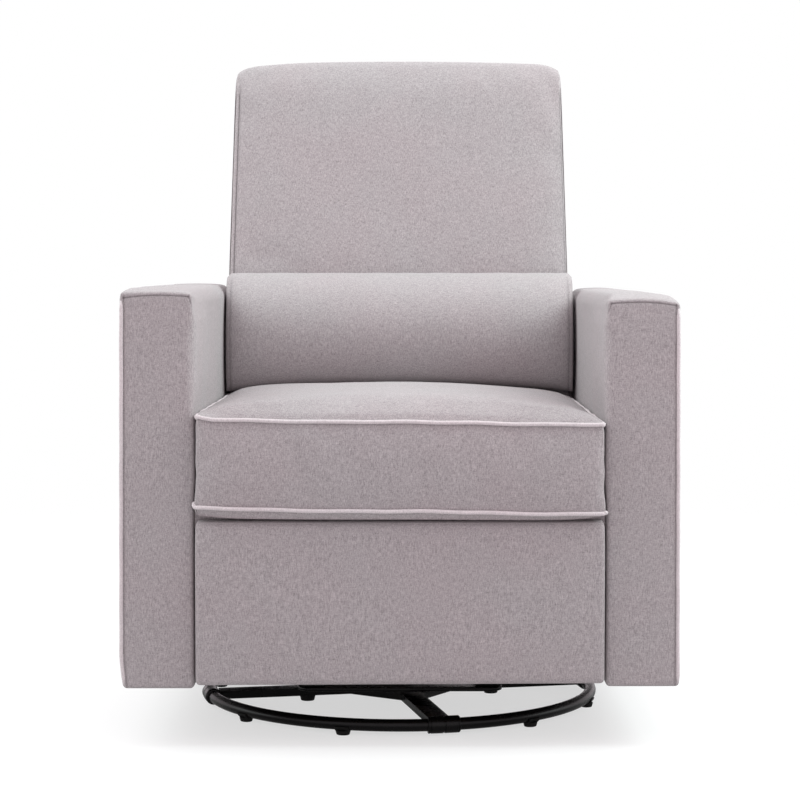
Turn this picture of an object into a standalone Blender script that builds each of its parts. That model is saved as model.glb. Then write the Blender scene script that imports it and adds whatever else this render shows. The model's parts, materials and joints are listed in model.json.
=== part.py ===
"""Glider nursery chair: swivel ring base, four-link glide mechanism, reclining back and lazy-tong footrest.

+Z is up, the front faces -Y, the floor is z = 0 and all sizes are metres. Each moving body has an
empty on its joint axis, and the pieces of that body are parented to it.
"""

import math

import bmesh
import bpy
from mathutils import Matrix, Vector

GAP = 0.0003  # between pieces that touch
SMOOTH_BELOW = math.radians(38.0)  # facets that meet at a smaller angle are shaded as one surface

# Overall
HALF_WIDTH = 0.390
ARM_INNER = 0.289
ARM_FRONT = -0.400
ARM_REAR = 0.335
ARM_BOTTOM = 0.084
ARM_TOP = 0.629
ARM_CROWN = 0.016
ARM_FACING = 0.012
REAR_PANEL = (0.3200, 0.3340)  # its front and rear faces in y
REAR_PANEL_TOP = 0.3250

# Ring base
SWIVEL_Y = -0.035
RING_RADIUS = 0.298
RING_TUBE = 0.009
RING_Z = 0.0155
RING_STEPS = 60
SPIDER_TURN = 12.0  # degrees the spider stands away from the chair's own front
SLEEVE_RADIUS = 0.0125
SLEEVE_HALF = 4.5  # degrees of ring on each side of a sleeve's middle
BAR_WIDTH = 0.032
BAR_BOTTOM, BAR_TOP = 0.0098, 0.0215
HUB_HALF_DIAGONAL = 0.110
FOOT_OFFSETS = (28.0, 62.0)  # degrees from one sleeve to its two feet
BAR_FOOT_REACH = 0.147
RING_FOOT_RADIUS, BAR_FOOT_RADIUS = 0.0100, 0.0130
FOOT_TAPER = 0.8

# Swivel bearing
HUB_BORE, BOLT_RADIUS = 0.0108, 0.0104
BOLT_HEAD, BOLT_LOW, BOLT_HIGH = 0.0170, 0.0228, 0.0500
LOWER_RACE, LOWER_RACE_TOP = 0.075, 0.0298
UPPER_RACE, UPPER_RACE_BOTTOM = 0.070, 0.0301

# Glide mechanism
PLATE_X, PLATE_Y = 0.154, 0.150
PLATE_BOTTOM, PLATE_TOP = 0.0364, 0.0414
WEB_IN, WEB_OUT = 0.1475, 0.1525
LINK_IN, LINK_OUT = 0.1555, 0.1605
RAIL_IN, RAIL_OUT = 0.1635, 0.1685
GLIDE_Y = 0.110
GLIDE_TOP, GLIDE_LOW = 0.235, 0.105
GLIDE_PIN, GLIDE_PLAY = 0.006, 0.0005
GLIDE_COLLAR = 0.010
GLIDE_BAR_HALF = 0.013
BEAM_NEAR, BEAM_FAR = 0.2455, 0.2655
BEAM_BOTTOM, BEAM_TOP = 0.090, 0.120

# Seat
SEAT_HALF = 0.283
SEAT_FRONT, SEAT_REAR = -0.430, 0.168
SEAT_LOW, SEAT_DECK = 0.318, 0.345
SEAT_EDGE = 0.457
SEAT_LIP = -0.3950  # the cushion hangs over the front rail before this
SEAT_SHOULDER, SEAT_CROWN = 0.010, 0.0312  # the top above its edge: all over, and further in its middle

# Footrest linkage: the A bars and the B bars are equally long and pinned at their middles
FOOT_PIVOT = (-0.3286, 0.2746)
FOOT_BAR = 0.1339
FOOT_A_ANGLE, FOOT_B_ANGLE = 238.8, 44.5
A_IN, A_OUT = 0.2220, 0.2260
B_IN, B_OUT = 0.2145, 0.2185
BRACKET_IN, BRACKET_OUT = 0.2300, 0.2340
BOARD_BRACKET_IN, BOARD_BRACKET_OUT = 0.2070, 0.2110
FOOT_BAR_HALF = 0.0075
FOOT_PIN, FOOT_PLAY = 0.0035, 0.0004
BOARD_HALF = 0.2865
BOARD_FRONT, BOARD_JOIN, BOARD_REAR = -0.416, -0.3885, -0.3765
BOARD_BOTTOM, BOARD_TOP = 0.0915, 0.3125

# Back
BACK_TILT = math.radians(11.0)
BACK_ORIGIN = (0.263, 0.360)
BACK_PIVOT = (0.268, 0.328)
BACK_HALF_LOW, BACK_HALF_TOP = 0.2865, 0.2780
BACK_LOW, BACK_HIGH = 0.050, 0.662
PAD_THICK, FRAME_THICK, SHELL_THICK = 0.095, 0.022, 0.0264
SHELL_LOW, SHELL_WALL_LOW = -0.030, 0.024
POCKET_HALF, POCKET_TOP = 0.2668, 0.643
HINGE_IN, HINGE_OUT = 0.2610, 0.2650
BACK_BRACKET_IN, BACK_BRACKET_OUT = 0.2680, 0.2720
BACK_PIN, BACK_PLAY = 0.0050, 0.0005

# Pull tab
TAB_X = (-0.2869, -0.2849)


def clear_scene():
    for obj in list(bpy.data.objects):
        bpy.data.objects.remove(obj, do_unlink=True)


def material(name, colour, roughness, metallic=0.0):
    made = bpy.data.materials.new(name)
    made.use_nodes = True
    shader = made.node_tree.nodes["Principled BSDF"]
    shader.inputs["Base Color"].default_value = (*colour, 1.0)
    shader.inputs["Roughness"].default_value = roughness
    shader.inputs["Metallic"].default_value = metallic
    return made


LOOKS = {
    "upholstery": ((0.46, 0.41, 0.41), 0.90, 0.0),
    "black_steel": ((0.015, 0.015, 0.016), 0.42, 0.7),
    "zinc_steel": ((0.55, 0.55, 0.56), 0.38, 0.9),
    "timber": ((0.55, 0.38, 0.21), 0.65, 0.0),
    "black_plastic": ((0.02, 0.02, 0.02), 0.55, 0.0),
    "webbing": ((0.05, 0.05, 0.055), 0.85, 0.0),
}

BODIES = {}


def body(name, pivot, parent=None):
    """An empty on the joint axis; the pieces of the body hang from it."""
    empty = bpy.data.objects.new("axis_" + name, None)
    bpy.context.scene.collection.objects.link(empty)
    at = Vector(pivot)
    if parent:
        empty.parent = BODIES[parent][0]
        empty.location = at - BODIES[parent][1]
    else:
        empty.location = at
    BODIES[name] = (empty, at)


def mesh_object(name, bm):
    bmesh.ops.remove_doubles(bm, verts=bm.verts, dist=1e-7)
    bmesh.ops.recalc_face_normals(bm, faces=bm.faces)
    mesh = bpy.data.meshes.new(name)
    bm.to_mesh(mesh)
    bm.free()
    obj = bpy.data.objects.new(name, mesh)
    bpy.context.scene.collection.objects.link(obj)
    return obj


def prism(outline, axis, low, high):
    """A closed outline in the two other axes, stretched from low to high along the axis."""
    def point(a, b, c):
        return {"x": (c, a, b), "y": (a, c, b), "z": (a, b, c)}[axis]

    bm = bmesh.new()
    ends = [[bm.verts.new(point(a, b, c)) for a, b in outline] for c in (low, high)]
    bm.faces.new(ends[0])
    bm.faces.new(ends[1])
    count = len(outline)
    for i in range(count):
        j = (i + 1) % count
        bm.faces.new((ends[0][i], ends[0][j], ends[1][j], ends[1][i]))
    return bm


def block(x0, x1, y0, y1, z0, z1):
    return prism([(x0, y0), (x1, y0), (x1, y1), (x0, y1)], "z", z0, z1)


def disc(centre, radius, axis, low, high, steps=20):
    turn = [math.tau * (i + 0.5) / steps for i in range(steps)]
    outline = [(centre[0] + radius * math.cos(t), centre[1] + radius * math.sin(t)) for t in turn]
    return prism(outline, axis, low, high)


def bar_outline(start, end, half, steps=8):
    """A straight bar with round ends, as an outline."""
    a, b = Vector(start), Vector(end)
    along = (b - a).normalized()
    across = Vector((-along.y, along.x))
    points = []
    for centre, side in ((b, 1.0), (a, -1.0)):
        for i in range(steps + 1):
            t = math.pi * (i / steps - 0.5)
            p = centre + side * half * (math.cos(t) * along + math.sin(t) * across)
            points.append((p.x, p.y))
    return points


def rounded(x0, x1, z0, z1, radius, steps=5):
    """A rectangle with round corners, as an outline."""
    points = []
    corners = ((x1, z1, 0), (x0, z1, 90), (x0, z0, 180), (x1, z0, 270))
    for x, z, first in corners:
        cx = x - math.copysign(radius, x - (x0 + x1) / 2)
        cz = z - math.copysign(radius, z - (z0 + z1) / 2)
        for i in range(steps + 1):
            t = math.radians(first + 90 * i / steps)
            points.append((cx + radius * math.cos(t), cz + radius * math.sin(t)))
    return points


def combined(name, adds, cuts=()):
    """One mesh: the first solid, joined with the others, less the cuts."""
    base = mesh_object(name, adds[0])
    helpers = []
    for operation, group in (("UNION", adds[1:]), ("DIFFERENCE", cuts)):
        for bm in group:
            helper = mesh_object(name + "_helper", bm)
            helper.hide_render = True
            helper.display_type = "WIRE"
            modifier = base.modifiers.new(operation.lower(), "BOOLEAN")
            modifier.operation = operation
            modifier.solver = "EXACT"
            modifier.object = helper
            helpers.append(helper)
    if helpers:
        bpy.context.view_layer.update()
        graph = bpy.context.evaluated_depsgraph_get()
        result = bpy.data.meshes.new_from_object(base.evaluated_get(graph))
        base.modifiers.clear()
        old = base.data
        base.data = result
        bpy.data.meshes.remove(old)
        result.name = name
        for helper in helpers:
            bpy.data.objects.remove(helper, do_unlink=True)
    return base


def piece(name, of_body, look, adds, cuts=()):
    """A finished piece: made in place, then hung from its body's empty, with its own material."""
    obj = combined(name, adds if isinstance(adds, list) else [adds], cuts)
    empty, pivot = BODIES[of_body]
    obj.data.transform(Matrix.Translation(-pivot))
    obj.parent = empty
    colour, roughness, metallic = LOOKS[look]
    obj.data.materials.clear()
    obj.data.materials.append(material(name, colour, roughness, metallic))
    obj.data.shade_smooth()
    obj.data.set_sharp_from_angle(angle=SMOOTH_BELOW)
    return obj


def mirrored(bm, side):
    """Left pieces (side -1) are the right ones mirrored in x."""
    if side < 0:
        bmesh.ops.scale(bm, vec=(-1, 1, 1), verts=bm.verts)
        bmesh.ops.reverse_faces(bm, faces=bm.faces)
    return bm


SIDES = (("left", -1), ("right", 1))


def around(angle, radius):
    """A point on the base, the angle counted from the front towards the right."""
    t = math.radians(angle)
    return Vector((radius * math.sin(t), SWIVEL_Y - radius * math.cos(t), 0.0))


def ring_tube(stations, radius_of, closed, steps=10):
    """A tube along the ring's own facets. Stations are (angle, share of the way to the next)."""
    step = 360.0 / RING_STEPS
    bm = bmesh.new()
    loops = []
    for station in stations:
        whole = math.floor(station / step + 1e-6)
        share = station / step - whole
        near, far = (around((whole + k) * step, RING_RADIUS) for k in (0, 1))
        centre = near.lerp(far, share)
        centre.z = RING_Z
        hub = Vector((0, SWIVEL_Y, RING_Z))
        out = (centre - hub).normalized()
        loop = []
        for i in range(steps):
            t = math.tau * (i + 0.5) / steps
            r = radius_of(station)
            loop.append(bm.verts.new(centre + r * (math.cos(t) * out + math.sin(t) * Vector((0, 0, 1)))))
        loops.append(loop)
    pairs = list(zip(loops, loops[1:])) + ([(loops[-1], loops[0])] if closed else [])
    for a, b in pairs:
        for i in range(steps):
            j = (i + 1) % steps
            bm.faces.new((a[i], a[j], b[j], b[i]))
    if not closed:
        bm.faces.new(loops[0])
        bm.faces.new(loops[-1])
    return bm


def tapered_foot(at, radius, top):
    """A round foot whose underside is a little smaller."""
    foot = disc((at.x, at.y), radius, "z", 0.0, top, 14)
    for v in foot.verts:
        if v.co.z < top / 2:
            v.co.x = at.x + FOOT_TAPER * (v.co.x - at.x)
            v.co.y = at.y + FOOT_TAPER * (v.co.y - at.y)
    return foot


def hub_bore():
    return disc((0.0, SWIVEL_Y), HUB_BORE, "z", 0.0, 0.1, 20)


def build_base():
    step = 360.0 / RING_STEPS
    whole = ring_tube([i * step for i in range(RING_STEPS)], lambda a: RING_TUBE, True)
    piece("base_ring", "base", "black_steel", whole)
    for index, name in enumerate(("front", "right", "rear", "left")):
        middle = SPIDER_TURN + 90 * index
        offsets = (-SLEEVE_HALF, -0.5, -0.25, 0.25, 0.5, SLEEVE_HALF)
        angles = [middle + o for o in offsets]

        def outer(angle, middle=middle):
            return SLEEVE_RADIUS - (0.0010 if abs(angle - middle) < 0.3 else 0.0)

        sleeve = ring_tube(sorted(angles + [middle]), outer, False)
        bore_ends = [middle - 2 * SLEEVE_HALF, middle - SLEEVE_HALF, middle, middle + SLEEVE_HALF,
                     middle + 2 * SLEEVE_HALF]
        bore = ring_tube(bore_ends, lambda a: RING_TUBE + GAP, False)
        piece("ring_sleeve_" + name, "base", "black_steel", [sleeve], [bore])
    # Spider: one long cross bar, a front bar and a rear bar on a diamond plate
    end = RING_RADIUS - SLEEVE_RADIUS - 0.0008
    adds = []
    for start, reach in ((90, end), (0, end), (180, end)):
        angle = SPIDER_TURN + start
        a = around(angle + (180 if start == 90 else 0), end if start == 90 else 0.0)
        b = around(angle, reach)
        along = (b - a).normalized()
        across = Vector((-along.y, along.x, 0)) * BAR_WIDTH / 2
        outline = [a + across, a - across, b - across, b + across]
        lift = 0.0 if start == 90 else 0.0004
        adds.append(prism([(p.x, p.y) for p in outline], "z", BAR_BOTTOM + lift, BAR_TOP - lift))
    diamond = [around(SPIDER_TURN + 90 * k, HUB_HALF_DIAGONAL) for k in range(4)]
    adds.append(prism([(p.x, p.y) for p in diamond], "z", BAR_BOTTOM + 0.002, BAR_TOP - 0.0008))
    piece("spider", "base", "black_steel", adds)
    number = 0
    for quarter in range(4):
        for offset in FOOT_OFFSETS:
            number += 1
            at = around(SPIDER_TURN + 90 * quarter + offset, RING_RADIUS)
            foot = tapered_foot(at, RING_FOOT_RADIUS, RING_Z - RING_TUBE - GAP)
            piece("ring_foot_%d" % number, "base", "black_plastic", foot)
    for name, angle in (("right", 90), ("left", 270)):
        at = around(SPIDER_TURN + angle, BAR_FOOT_REACH)
        piece("bar_foot_" + name, "base", "black_plastic",
              tapered_foot(at, BAR_FOOT_RADIUS, BAR_BOTTOM - GAP))
    hub = (0.0, SWIVEL_Y)
    race = disc(hub, LOWER_RACE, "z", BAR_TOP + GAP, LOWER_RACE_TOP, 32)
    piece("bearing_lower", "base", "zinc_steel", race, [hub_bore()])


def build_turntable():
    hub = (0.0, SWIVEL_Y)
    race = disc(hub, UPPER_RACE, "z", UPPER_RACE_BOTTOM, PLATE_BOTTOM - GAP, 32)
    piece("bearing_upper", "turntable", "zinc_steel", race, [hub_bore()])
    low, high = SWIVEL_Y - PLATE_Y, SWIVEL_Y + PLATE_Y
    plate = prism(rounded(-PLATE_X, PLATE_X, low, high, 0.02), "z", PLATE_BOTTOM, PLATE_TOP)
    piece("turntable_plate", "turntable", "black_steel", plate, [hub_bore()])
    shank = disc(hub, BOLT_RADIUS, "z", BOLT_LOW, BOLT_HIGH - 0.004, 20)
    head = disc(hub, BOLT_HEAD, "z", PLATE_TOP + GAP, BOLT_HIGH, 6)
    piece("centre_bolt", "turntable", "zinc_steel", [shank, head])
    for name, side in SIDES:
        y0, y1 = SWIVEL_Y - 0.140, SWIVEL_Y + 0.140
        y2, y3 = SWIVEL_Y - GLIDE_Y - 0.02, SWIVEL_Y + GLIDE_Y + 0.02
        base_z = PLATE_TOP + GAP
        web = prism([(y0, base_z), (y1, base_z), (y1, 0.09), (y3, 0.20), (y3, 0.252), (y2, 0.252),
                     (y2, 0.20), (y0, 0.09)], "x", WEB_IN, WEB_OUT)
        flange = block(0.1150, WEB_OUT - 0.0005, y0 + 0.001, y1 - 0.001, base_z + 0.0002, base_z + 0.0042)
        window = prism([(SWIVEL_Y - 0.085, 0.075), (SWIVEL_Y + 0.085, 0.075), (SWIVEL_Y + 0.075, 0.175),
                        (SWIVEL_Y - 0.075, 0.175)], "x", 0.13, 0.17)
        cuts = [window]
        for y in (-GLIDE_Y, GLIDE_Y):
            cuts.append(disc((SWIVEL_Y + y, GLIDE_TOP), GLIDE_PIN + GLIDE_PLAY, "x", 0.13, 0.17, 16))
        piece("glide_bracket_" + name, "turntable", "black_steel",
              [mirrored(bm, side) for bm in (web, flange)], [mirrored(bm, side) for bm in cuts])
    tie = disc((SWIVEL_Y, 0.212), 0.009, "x", -WEB_IN + GAP, WEB_IN - GAP, 14)
    piece("glide_tie", "turntable", "black_steel", tie)


def build_glide_links():
    for end, sign in (("front", -1), ("rear", 1)):
        y = SWIVEL_Y + sign * GLIDE_Y
        for name, side in SIDES:
            bar = prism(bar_outline((y, GLIDE_LOW), (y, GLIDE_TOP), GLIDE_BAR_HALF), "x", LINK_IN, LINK_OUT)
            top = disc((y, GLIDE_TOP), GLIDE_PIN, "x", WEB_IN - 0.002, LINK_IN + 0.002, 16)
            low = disc((y, GLIDE_LOW), GLIDE_PIN, "x", LINK_OUT - 0.002, RAIL_OUT + 0.002, 16)
            collar_top = disc((y, GLIDE_TOP), GLIDE_COLLAR, "x", WEB_OUT + GAP, LINK_IN + 0.001, 16)
            collar_low = disc((y, GLIDE_LOW), GLIDE_COLLAR, "x", LINK_OUT - 0.001, RAIL_IN - GAP, 16)
            solids = [bar, top, low, collar_top, collar_low]
            piece("glide_link_%s_%s" % (end, name), "link_" + end, "zinc_steel",
                  [mirrored(bm, side) for bm in solids])


def crowned_block(x0, x1, y0, y1, z0, z1, crown, nx=6, ny=10):
    """A block whose top swells up by the crown and falls to its edge at z1."""
    bm = bmesh.new()
    top, low = [], []
    for i in range(nx + 1):
        row = []
        for j in range(ny + 1):
            u, v = 2 * i / nx - 1, 2 * j / ny - 1
            x, y = x0 + (x1 - x0) * i / nx, y0 + (y1 - y0) * j / ny
            swell = crown * (1 - u ** 4) * (1 - v ** 6)
            row.append(bm.verts.new((x, y, z1 + swell)))
        top.append(row)
    rim = [top[i][0] for i in range(nx + 1)] + [top[nx][j] for j in range(1, ny + 1)]
    rim += [top[i][ny] for i in range(nx - 1, -1, -1)] + [top[0][j] for j in range(ny - 1, 0, -1)]
    for v in rim:
        low.append(bm.verts.new((v.co.x, v.co.y, z0)))
    for i in range(nx):
        for j in range(ny):
            bm.faces.new((top[i][j], top[i + 1][j], top[i + 1][j + 1], top[i][j + 1]))
    for k in range(len(rim)):
        m = (k + 1) % len(rim)
        bm.faces.new((rim[k], rim[m], low[m], low[k]))
    bm.faces.new(low)
    return bm


def build_chair():
    for name, side in SIDES:
        # Arm: a block with a crowned top, and a front facing
        arm = crowned_block(ARM_INNER, HALF_WIDTH, ARM_FRONT + ARM_FACING + GAP, ARM_REAR,
                            ARM_BOTTOM, ARM_TOP, ARM_CROWN)
        piece("arm_" + name, "chair", "upholstery", mirrored(arm, side))
        face = rounded(ARM_INNER, HALF_WIDTH, ARM_BOTTOM, ARM_TOP + 0.004, 0.012)
        piece("arm_facing_" + name, "chair", "upholstery",
              mirrored(prism(face, "y", ARM_FRONT, ARM_FRONT + ARM_FACING), side))
        # Footrest bracket and back bracket
        fy, fz = FOOT_PIVOT
        arm = prism(bar_outline((fy, fz), (fy + 0.075, 0.286), 0.011), "x", BRACKET_IN, BRACKET_OUT)
        shelf = block(BRACKET_IN + 0.0005, 0.2880, fy + 0.030, fy + 0.080, 0.2955, 0.2997)
        web_up = block(BRACKET_IN + 0.0002, BRACKET_OUT - 0.0002, fy + 0.0305, fy + 0.0795, 0.2800, 0.2990)
        hole = disc((fy, fz), FOOT_PIN + 0.0015, "x", 0.22, 0.25, 14)
        piece("footrest_bracket_" + name, "chair", "black_steel",
              [mirrored(bm, side) for bm in (arm, shelf, web_up)], [mirrored(hole, side)])
        by, bz = BACK_PIVOT
        nose = bar_outline((by - 0.02, bz), (by, bz), 0.0098)[:9]
        plate = prism([(0.1700 + GAP, 0.3440), (0.1700 + GAP, 0.3010)] + nose, "x",
                      BACK_BRACKET_IN, BACK_BRACKET_OUT)
        hole = disc((by, bz), BACK_PIN + BACK_PLAY, "x", 0.25, 0.29, 14)
        piece("back_bracket_" + name, "chair", "black_steel",
              [mirrored(plate, side)], [mirrored(hole, side)])
    reach = ARM_INNER - GAP
    # Glide frame: two beams between the arms and two angle rails that hang on the links
    solids, holes = [], []
    for y in (-BEAM_FAR, BEAM_NEAR):
        solids.append(block(-reach, reach, y, y + BEAM_FAR - BEAM_NEAR, BEAM_BOTTOM, BEAM_TOP))
    for _, side in SIDES:
        web = block(RAIL_IN, RAIL_OUT, -BEAM_NEAR - 0.002, BEAM_NEAR + 0.002, 0.0880, 0.1220)
        flange = block(RAIL_OUT - 0.001, 0.1950, -BEAM_NEAR - 0.001, BEAM_NEAR + 0.001, 0.0882, 0.0915)
        solids += [mirrored(web, side), mirrored(flange, side)]
        for y in (-GLIDE_Y, GLIDE_Y):
            hole = disc((SWIVEL_Y + y, GLIDE_LOW), GLIDE_PIN + GLIDE_PLAY, "x", 0.15, 0.18, 16)
            holes.append(mirrored(hole, side))
    piece("glide_frame", "chair", "black_steel", solids, holes)
    # Seat frame: four rails
    solids = [block(-reach, reach, -0.3900, -0.3660, 0.3080, SEAT_DECK - GAP),
              block(-0.2700, 0.2700, 0.1450, 0.1697, 0.3000, SEAT_DECK - GAP - 0.0002)]
    for _, side in SIDES:
        rail = block(0.2640, reach - 0.0002, -0.3670, 0.1695, 0.3002, SEAT_DECK - GAP - 0.0004)
        solids.append(mirrored(rail, side))
    piece("seat_frame", "chair", "timber", solids)
    slots = []
    for k in range(-3, 4):
        slots.append(block(0.068 * k - 0.012, 0.068 * k + 0.012, -0.320, 0.100, 0.30, 0.36))
    piece("seat_deck", "chair", "webbing", block(-0.2637, 0.2637, -0.3655, 0.1447, 0.3360, 0.3400), slots)
    panel = block(-reach, reach, *REAR_PANEL, ARM_BOTTOM, REAR_PANEL_TOP)
    piece("rear_panel", "chair", "upholstery", panel)
    build_seat_cushion()


def build_seat_cushion():
    """A crowned box cushion with a lip that hangs over the front rail."""
    nx, stations = 12, []
    depth = SEAT_REAR - SEAT_FRONT
    shares = (0.0, 0.008, 0.03, 0.08, 0.20, 0.36, 0.54, 0.72, 0.88, 0.965, 1.0)
    for share in shares:
        y = SEAT_FRONT + depth * share
        rise = min(1.0, (share / 0.10) ** 0.5) if share < 0.10 else 1.0
        fall = 1.0 - 0.65 * max(0.0, (share - 0.45) / 0.55) ** 1.6
        stations.append((y, rise * fall))
    bm = bmesh.new()
    rows = []
    for y, swell in stations:
        row = []
        for i in range(nx + 1):
            u = 2 * i / nx - 1
            shoulder = SEAT_SHOULDER * min(1.0, swell * 2) * (1 - abs(u) ** 12)
            crown = SEAT_CROWN * swell * (1 - abs(u) ** 2.6)
            row.append(bm.verts.new((SEAT_HALF * u, y, SEAT_EDGE + shoulder + crown)))
        rows.append(row)
    profile = [(SEAT_FRONT, SEAT_LOW + 0.012), (SEAT_FRONT + 0.006, SEAT_LOW + 0.002),
               (SEAT_FRONT + 0.014, SEAT_LOW), (SEAT_LIP, SEAT_LOW), (SEAT_LIP, SEAT_DECK),
               (SEAT_REAR, SEAT_DECK)]
    unders = []
    for y, z in profile:
        unders.append([bm.verts.new((SEAT_HALF * (2 * i / nx - 1), y, z)) for i in range(nx + 1)])
    for a, b in zip(rows, rows[1:]):
        for i in range(nx):
            bm.faces.new((a[i], a[i + 1], b[i + 1], b[i]))
    for a, b in zip(unders, unders[1:]):
        for i in range(nx):
            bm.faces.new((a[i], b[i], b[i + 1], a[i + 1]))
    for i in range(nx):
        bm.faces.new((rows[0][i], unders[0][i], unders[0][i + 1], rows[0][i + 1]))
        bm.faces.new((rows[-1][i], rows[-1][i + 1], unders[-1][i + 1], unders[-1][i]))
    for i in (0, nx):
        bm.faces.new([row[i] for row in rows] + [row[i] for row in reversed(unders)])
    piece("seat_cushion", "chair", "upholstery", bm)


def on_back(s, n):
    """The (y, z) of a point s up the back and n out of its front."""
    y = BACK_ORIGIN[0] + s * math.sin(BACK_TILT) - n * math.cos(BACK_TILT)
    z = BACK_ORIGIN[1] + s * math.cos(BACK_TILT) + n * math.sin(BACK_TILT)
    return y, z


def back_solid(levels, nx=10):
    """A closed solid from levels (s, half width, front profile, rear profile), both as functions of u."""
    bm = bmesh.new()
    front, rear = [], []
    for s, half, fore, aft in levels:
        f_row, r_row = [], []
        for i in range(nx + 1):
            u = 2 * i / nx - 1
            for row, depth in ((f_row, fore(u)), (r_row, aft(u))):
                y, z = on_back(s, depth)
                row.append(bm.verts.new((half * u, y, z)))
        front.append(f_row)
        rear.append(r_row)
    for rows in (front, rear):
        for a, b in zip(rows, rows[1:]):
            for i in range(nx):
                bm.faces.new((a[i], a[i + 1], b[i + 1], b[i]))
    for k in (0, len(levels) - 1):
        for i in range(nx):
            bm.faces.new((front[k][i], front[k][i + 1], rear[k][i + 1], rear[k][i]))
    for i in (0, nx):
        for k in range(len(levels) - 1):
            bm.faces.new((front[k][i], front[k + 1][i], rear[k + 1][i], rear[k][i]))
    return bm


def build_back():
    def half_at(s):
        share = max(0.0, (s - 0.30) / (BACK_HIGH - 0.30))
        return BACK_HALF_LOW + (BACK_HALF_TOP - BACK_HALF_LOW) * share

    levels = []
    for s in (0.050, 0.065, 0.12, 0.22, 0.34, 0.46, 0.57, 0.615, 0.640, 0.654, 0.662):
        drop = max(0.0, (s - 0.602) / 0.060)
        inset = 0.012 * (1 - math.sqrt(max(0.0, 1 - drop ** 2)))
        low = max(0.0, (0.065 - s) / 0.015)
        thick = PAD_THICK - 0.034 * (1 - math.sqrt(max(0.0, 1 - drop ** 2))) - 0.012 * low

        def fore(u, thick=thick):
            return thick - 0.014 * abs(u) ** 6

        levels.append((s, half_at(s) - inset, fore, lambda u: GAP))
    piece("back_pad", "back", "upholstery", back_solid(levels))

    # The shell is a tray behind the frame: its walls reach forward to the pad
    levels = []
    for s in (SHELL_LOW, -0.015, 0.15, 0.32, 0.50, 0.62, 0.650, 0.660):
        drop = max(0.0, (s - 0.630) / 0.030)
        bulge = 0.006 * math.sin(math.pi * (s - SHELL_LOW) / (0.66 - SHELL_LOW))
        deep = FRAME_THICK + SHELL_THICK * (1 - 0.45 * drop)

        def aft(u, deep=deep, bulge=bulge):
            return -deep - bulge * (1 - u * u)

        levels.append((s, half_at(s) - 0.004 * drop, lambda u: -GAP, aft))

    def slab(x0, x1, s0, s1, n0, n1):
        corners = [on_back(s, n) for s, n in ((s0, n0), (s1, n0), (s1, n1), (s0, n1))]
        return prism(corners, "x", x0, x1)

    pocket = slab(-POCKET_HALF, POCKET_HALF, -0.060, POCKET_TOP, -FRAME_THICK - 0.0006, 0.020)
    notch = slab(-0.3000, 0.3000, -0.060, SHELL_WALL_LOW, -FRAME_THICK - 0.0006, 0.020)
    piece("back_shell", "back", "upholstery", [back_solid(levels)], [pocket, notch])
    for name, side in SIDES:
        by, bz = BACK_PIVOT
        plate = prism(bar_outline((by, bz), on_back(0.180, -0.011), 0.0095), "x", HINGE_IN, HINGE_OUT)
        pin = disc((by, bz), BACK_PIN, "x", HINGE_OUT - 0.001, BACK_BRACKET_OUT + 0.003, 14)
        piece("back_hinge_" + name, "back", "zinc_steel", [mirrored(bm, side) for bm in (plate, pin)])
    # Back frame: two stiles and three rails
    solids = [mirrored(slab(0.2330, 0.2607, 0.0, 0.640, -FRAME_THICK, 0.0), side) for _, side in SIDES]
    for s in (0.010, 0.300, 0.590):
        solids.append(slab(-0.2350, 0.2350, s, s + 0.045, -FRAME_THICK + 0.0003, -0.0003))
    piece("back_frame", "back", "timber", solids)
    build_pillow()


def build_pillow():
    """The lumbar pillow: full width, fullest above its middle, sewn to the front of the back pad."""
    rows = ((0.100, 0.026), (0.107, 0.046), (0.128, 0.066), (0.164, 0.082), (0.206, 0.090),
            (0.240, 0.088), (0.264, 0.070), (0.280, 0.045), (0.287, 0.024))
    levels = []
    for s, out in rows:
        side = 0.008 if s < 0.11 or s > 0.275 else 0.0

        def fore(u, out=out):
            return PAD_THICK + GAP + out * (1 - 0.55 * abs(u) ** 3)

        levels.append((s, BACK_HALF_LOW - side, fore, lambda u: PAD_THICK + GAP))
    piece("lumbar_pillow", "back", "upholstery", back_solid(levels, 12))


def foot_point(start, angle, length):
    t = math.radians(angle)
    return (start[0] - length * math.cos(t), start[1] + length * math.sin(t))


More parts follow.
